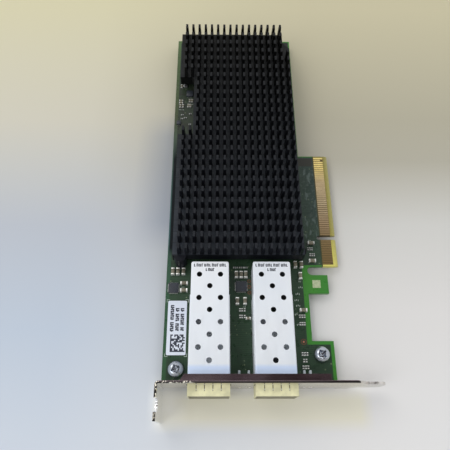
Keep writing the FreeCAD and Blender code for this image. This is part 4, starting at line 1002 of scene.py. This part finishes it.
def make_label_lines(low, high, top):
    """Three lines of short strokes, with the odd gap between them."""
    line_width = 1.35
    stroke_pitch = 0.74
    strokes = []
    ticks = []
    for line, (across, start, end, skip) in enumerate(LABEL_LINES_MM):
        x = low.x + (across - line_width / 2) * MM
        place = start
        number = 0
        while place < end:
            y = high.y - place * MM
            if (number + 2 * line) % skip != skip - 1:
                strokes.append(Vector((x, y, top)))
                ticks.append(Vector((x + (number % 3) * 0.42 * MM, y - 0.2 * MM, top)))
            place += stroke_pitch
            number += 1
    bars(strokes, (line_width, 0.5, PRINT_MM), "label_strokes", INK, "resistor_black")
    bars(ticks, (0.5, 0.45, PRINT_MM), "label_ticks", INK, "resistor_black")


def make_label_squares(low, top):
    """Field of small squares with two full sides."""
    cell = 0.5
    columns, rows = 11, 13
    corner = Vector((low.x + 1.35 * MM, low.y + 1.15 * MM, top))
    squares = []
    for column in range(columns):
        for row in range(rows):
            rim = column == 0 or row == 0
            filled = (7 * column * column + 5 * row * row + 3 * column * row + column) % 11 < 6
            if rim or filled:
                squares.append(corner + Vector((column * cell * MM, row * cell * MM, 0)))
    bars(squares, (cell, cell, PRINT_MM), "label_squares", INK, "resistor_black")


def make_label():
    """Paper label with rounded corners and its print."""
    low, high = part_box("label")
    sheet = new_block(low, high)
    pick_edges(sheet, lambda one, two: abs(one.z - two.z) > 0.05 * MM)
    bpy.ops.mesh.bevel(offset=0.45 * MM, segments=5, affect="EDGES")
    done()
    soften(sheet, 0.03, 1)
    sheet.name = "label_sheet"
    dress(sheet, LABEL, "label_paper", "label")
    top = high.z - 0.01 * MM
    make_label_lines(low, high, top)
    make_label_squares(low, top)


def make_cage_print():
    """Two lines of short strokes at the rear of each cage's top."""
    left = 0.3 * MM
    right = 0.16 * MM
    height = 0.95 * MM
    strokes = []
    feet = []
    for node in ("cage_cover_a", "cage_cover_b"):
        low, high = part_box(node)
        middle = (low.x + high.x) / 2
        z = high.z - 0.012 * MM
        for count, pitch, back in CAGE_LINES_MM:
            y = high.y - back * MM
            for place in range(count):
                x = middle + (place - (count - 1) / 2) * pitch * MM
                strokes.append(Vector((x - left, y, z)))
                if place % 3:
                    strokes.append(Vector((x + right, y, z)))
                feet.append(Vector((x - left, y + (place % 2) * height, z)))
    bars(strokes, (0.34, 1.15, PRINT_MM), "cage_strokes", CAGE_INK, "resistor_black")
    bars(feet, (0.6, 0.28, PRINT_MM), "cage_feet", CAGE_INK, "resistor_black")


def make_board_legend():
    """White marks beside the small parts, and corner marks round the label."""
    gap = 0.5
    step = 0.4 * MM
    marks = []
    for number, (low, high) in enumerate(loose_boxes(cad_copy("capacitor_bodies"))):
        if number % 4 != 1:
            continue
        tall = high.y - low.y > high.x - low.x
        for place in range(2 + number % 2):
            if tall:
                corner = Vector((low.x + place * step - 0.1 * MM, low.y - (gap + 1.05) * MM, 0))
            else:
                corner = Vector((low.x + place * step, high.y + gap * MM, 0))
            marks.append(corner)
    bars(marks, (0.14, 0.5, PRINT_MM), "board_marks", LEGEND, "label_paper")

    letter_pitch = 0.62
    letters = []
    for x, y, count in STRIP_LEGEND_MM:
        for place in range(count):
            letters.append(Vector((x + letter_pitch * place, y + 0.2 * (place % 2), 0)) * MM)
    bars(letters, (0.24, 0.62, PRINT_MM), "strip_marks", LEGEND, "label_paper")

    low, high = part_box("label")
    out = 0.55 * MM
    arm = 1.2
    thin = 0.16
    for name, wide, tall in (("label_corner_bars", arm, thin), ("label_corner_sides", thin, arm)):
        corners = []
        for x in (low.x - out, high.x + out - wide * MM):
            for y in (low.y - out, high.y + out - tall * MM):
                corners.append(Vector((x, y, 0)))
        bars(corners, (wide, tall, PRINT_MM), name, LEGEND, "label_paper")


def make_ring(centre, outer_mm, inner_mm, thick_mm):
    """Flat ring with a hole through it."""
    ring = new_disc(centre, outer_mm * MM, thick_mm * MM, 32)
    hole = new_disc(centre, inner_mm * MM, 3 * thick_mm * MM, 32)
    carve(ring, hole)
    return soften(ring, 0.012, 1)


def make_copper_spots():
    """Three copper-ringed holes between the cages, the hook's pad and a round copper mark."""
    ring_level = 0.015 * MM
    cage_low, cage_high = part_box("cage_cover_b")
    ring = make_ring((0, 0, 0), 0.72, 0.42, 0.04)
    places = [Vector((cage_low.x - 0.9 * MM, cage_high.y - back * MM, ring_level))
              for back in RINGED_HOLES_BACK_MM]
    dress(shade(stamp(ring, places, "ringed_holes")), OLD_COPPER, "gold_plate")

    pad_low = Vector((HOOK_PAD_MM[0] * MM, HOOK_PAD_MM[1] * MM, 0))
    pad = soften(new_block(pad_low, pad_low + Vector((3.2, 3.2, 0.05)) * MM), 0.02, 1)
    pad.name = "hook_pad"
    dress(pad, HOOK_PAD, "tin_plate")

    x, y = ROUND_MARK_MM[0] * MM, ROUND_MARK_MM[1] * MM
    border = make_ring((x, y, ring_level), 1.1, 0.85, 0.04)
    border.name = "round_mark_ring"
    dress(shade(border), OLD_COPPER, "gold_plate")
    dot = soften(new_disc((x, y, 0.02 * MM), 0.38 * MM, 0.05 * MM, 24), 0.01, 1)
    dot.name = "round_mark"
    dress(shade(dot), COPPER, "gold_plate")


def make_pin_collars():
    """Rings of solder round the cage pins where they leave the underside."""
    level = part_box("circuit_board")[0].z
    places = []
    for node in ("cage_cover_a", "cage_cover_b", "cage_base_a", "cage_base_b"):
        tips = cut_level(cad_copy(node), level - 0.3 * MM, keep_above=False)
        for low, high in loose_boxes(tips):
            places.append(Vector(((low.x + high.x) / 2, (low.y + high.y) / 2, level - 0.02 * MM)))
    ring = make_ring((0, 0, 0), 0.95, 0.5, 0.05)
    dress(shade(stamp(ring, places, "pin_collars")), PLATE, "tin_plate")


def make_finger_shade():
    """Dark strips of painted shade in the gaps between the spring fingers round each cage's mouth, and
    beside each mouth in the bracket.
    """
    fingers = 5
    gap_width = 0.26
    gaps = []
    for node in ("cage_cover_a", "cage_cover_b"):
        low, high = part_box(node)
        for place in range(1, fingers):
            x = low.x + place * (high.x - low.x) / fingers - 0.14 * MM
            gaps.append(Vector((x, low.y + 2.5 * MM, high.z - 0.02 * MM)))
    bars(gaps, (gap_width, 1.25, 0.06), "finger_gap_shade", SLOT_SHADE, "connector_plastic")
    sides = []
    for node in ("emi_ring_a", "emi_ring_b"):
        low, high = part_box(node)
        for x in (low.x - 0.36 * MM, high.x + 0.02 * MM):
            sides.append(Vector((x, PLATE_FRONT_MM * MM - 0.03 * MM, high.z - 3.4 * MM)))
    bars(sides, (0.34, 0.06, 3.3), "opening_gap_shade", CONNECTOR, "connector_plastic")


# ---------------------------------------------------------------- stage, lights and camera
def make_floor():
    """Pale table under the card, with its light painted in: cooler towards the bracket and warmer beyond
    the far end, darker on the right beside the card's far half, a painted shadow beside the card's left
    side, a painted pool of light in front of the bracket and a paler painted patch beside the tab.
    """
    finish = Finish("pale_table", (0.75, 0.76, 0.76), roughness=0.6)
    left = finish.ramp("Y", (-76, (0.57, 0.62, 0.69)), (-37, (0.49, 0.555, 0.645)),
                       (7, (0.47, 0.5, 0.55)), (62, (0.6, 0.57, 0.47)), (136, (0.645, 0.6, 0.395)))
    right = finish.ramp("Y", (-76, (0.74, 0.73, 0.72)), (-30, (0.71, 0.69, 0.67)),
                        (8, (0.61, 0.6, 0.565)), (40, (0.43, 0.405, 0.325)), (63, (0.43, 0.4, 0.3)),
                        (136, (0.565, 0.515, 0.34)))
    table = finish.blend(finish.along("X", -110, 0), left, right)
    # Painted shadow on the table beside the card's left side.
    painted_shade_beside_sink = finish.inside(-79, -50, 2, 60, 14)
    table = finish.blend(painted_shade_beside_sink, table, (0.17, 0.22, 0.33), 0.42)
    low, high = box_mm("circuit_board")
    # Painted pool of warm light on the table in front of the bracket.
    painted_light_before_bracket = finish.inside(low.x - 1, high.x + 6, low.y - 14, low.y - 3, 5)
    table = finish.blend(painted_light_before_bracket, table, (0.76, 0.73, 0.6))
    # Painted light in the corner beside the tab.
    painted_light_beside_tab = finish.inside(low.x - 1, low.x + 6, low.y - 13, low.y, 9)
    finish.colour(finish.blend(painted_light_beside_tab, table, (0.97, 0.96, 0.9)))
    finish.relief(finish.noise(300, 3), 0.05, 0.05)
    bpy.ops.object.select_all(action="DESELECT")
    bpy.ops.mesh.primitive_plane_add(size=6, location=(0, 0, cad_box[0][2]))
    floor = settle(bpy.context.object, "table")
    floor.data.materials.append(finish.material)


def make_light(name, place, power, colour):
    """Round lamp that looks at the middle of the card."""
    lamp = bpy.data.lights.new(name, "AREA")
    lamp.shape = "DISK"
    lamp.size = 0.6
    lamp.energy = power
    lamp.color = colour
    holder = bpy.data.objects.new(name, lamp)
    bpy.context.scene.collection.objects.link(holder)
    holder.location = place
    holder.rotation_euler = (Vector(CARD_MIDDLE) - Vector(place)).to_track_quat("-Z", "Y").to_euler()


def make_lights():
    make_light("window", (-0.75, -0.45, 0.95), 2.2, (0.93, 0.97, 1.0))
    make_light("lamp", (-0.6, 0.5, 1.0), 2.0, (1.0, 0.97, 0.92))
    make_light("ceiling", (-0.04, -0.55, 1.1), 1.5, (0.98, 0.98, 1.0))


def add_patch(tree, direction, towards, wide, narrow):
    """How far a direction of the room lies within a round patch, from its rim to its core."""
    aligned = tree.nodes.new("ShaderNodeVectorMath")
    aligned.operation = "DOT_PRODUCT"
    tree.links.new(direction, aligned.inputs[0])
    aligned.inputs[1].default_value = Vector(towards).normalized()
    patch = tree.nodes.new("ShaderNodeMapRange")
    tree.links.new(aligned.outputs["Value"], patch.inputs["Value"])
    patch.inputs["From Min"].default_value = math.cos(math.radians(wide))
    patch.inputs["From Max"].default_value = math.cos(math.radians(narrow))
    return patch.outputs["Result"]


def make_world():
    """Even pale room with two dark patches overhead, which bright metal mirrors."""
    world = bpy.data.worlds.new("studio")
    bpy.context.scene.world = world
    world.use_nodes = True
    tree = world.node_tree
    background = tree.nodes["Background"]
    background.inputs["Strength"].default_value = 1.0
    direction = tree.nodes.new("ShaderNodeTexCoord").outputs["Generated"]
    colour = None
    for towards, wide, narrow, shade_colour in (((0.06, 0.105, 0.99), 18, 12, (0.04, 0.026, 0.027)),
                                                ((0.07, -0.6, 0.8), 30, 20, (0.05, 0.04, 0.035))):
        mix = tree.nodes.new("ShaderNodeMix")
        mix.data_type = "RGBA"
        tree.links.new(add_patch(tree, direction, towards, wide, narrow), mix.inputs[0])
        if colour is None:
            mix.inputs[6].default_value = (0.93, 0.945, 0.965, 1)
        else:
            tree.links.new(colour, mix.inputs[6])
        mix.inputs[7].default_value = (*shade_colour, 1)
        colour = mix.outputs[2]
    tree.links.new(colour, background.inputs["Color"])


def make_camera():
    """Camera above the bracket's end that looks down along the card."""
    place_mm = (-47.91, -77.91, 180.52)
    look = Vector((0.01156, 0.42005, -0.90743)).normalized()
    level = Vector((0.99993, -0.00248, 0.01159))
    level = (level - level.dot(look) * look).normalized()
    up = level.cross(look)
    lens = bpy.data.cameras.new("camera")
    lens.sensor_width = 36
    lens.lens = 38.06
    lens.clip_start = 0.01
    camera = bpy.data.objects.new("camera", lens)
    bpy.context.scene.collection.objects.link(camera)
    camera.matrix_world = Matrix((
        (level.x, up.x, -look.x, place_mm[0] * MM),
        (level.y, up.y, -look.y, place_mm[1] * MM),
        (level.z, up.z, -look.z, place_mm[2] * MM),
        (0, 0, 0, 1)))
    bpy.context.scene.camera = camera


# ---------------------------------------------------------------- the whole card
def make_folded_parts():
    """Bracket, cages, rings and connectors with their edges broken."""
    soft_copy("bracket", "bracket_sheet", 0.1)
    for letter in "ab":
        soft_copy("cage_cover_" + letter, "cage_cover_sheet_" + letter, 0.05)
        soft_copy("cage_base_" + letter, "cage_base_sheet_" + letter, 0.05)
        soft_copy("emi_ring_" + letter, "spring_ring_" + letter, 0.04)
        soft_copy("host_connector_" + letter, "host_connector_body_" + letter, 0.1)


make_camera()
make_lights()
make_world()
make_floor()
dress_nodes()
make_heatsink()
make_folded_parts()
make_bracket_screws()
make_chip("port_chip", 7, 7)
make_chip("power_chip", 7, 7)
make_chip("flash_chip", 4, 0)
make_chip("sensor_chip", 3, 0)
make_rounded_parts()
make_solder_feet("capacitor_terminals", "capacitor_feet", False)
make_solder_feet("resistor_terminals", "resistor_feet", False)
make_solder_feet("solder_side_terminals", "solder_side_feet", True)
make_label()
make_cage_print()
make_board_legend()
make_copper_spots()
make_pin_collars()
make_finger_shade()
bpy.context.scene.view_settings.view_transform = "Standard"
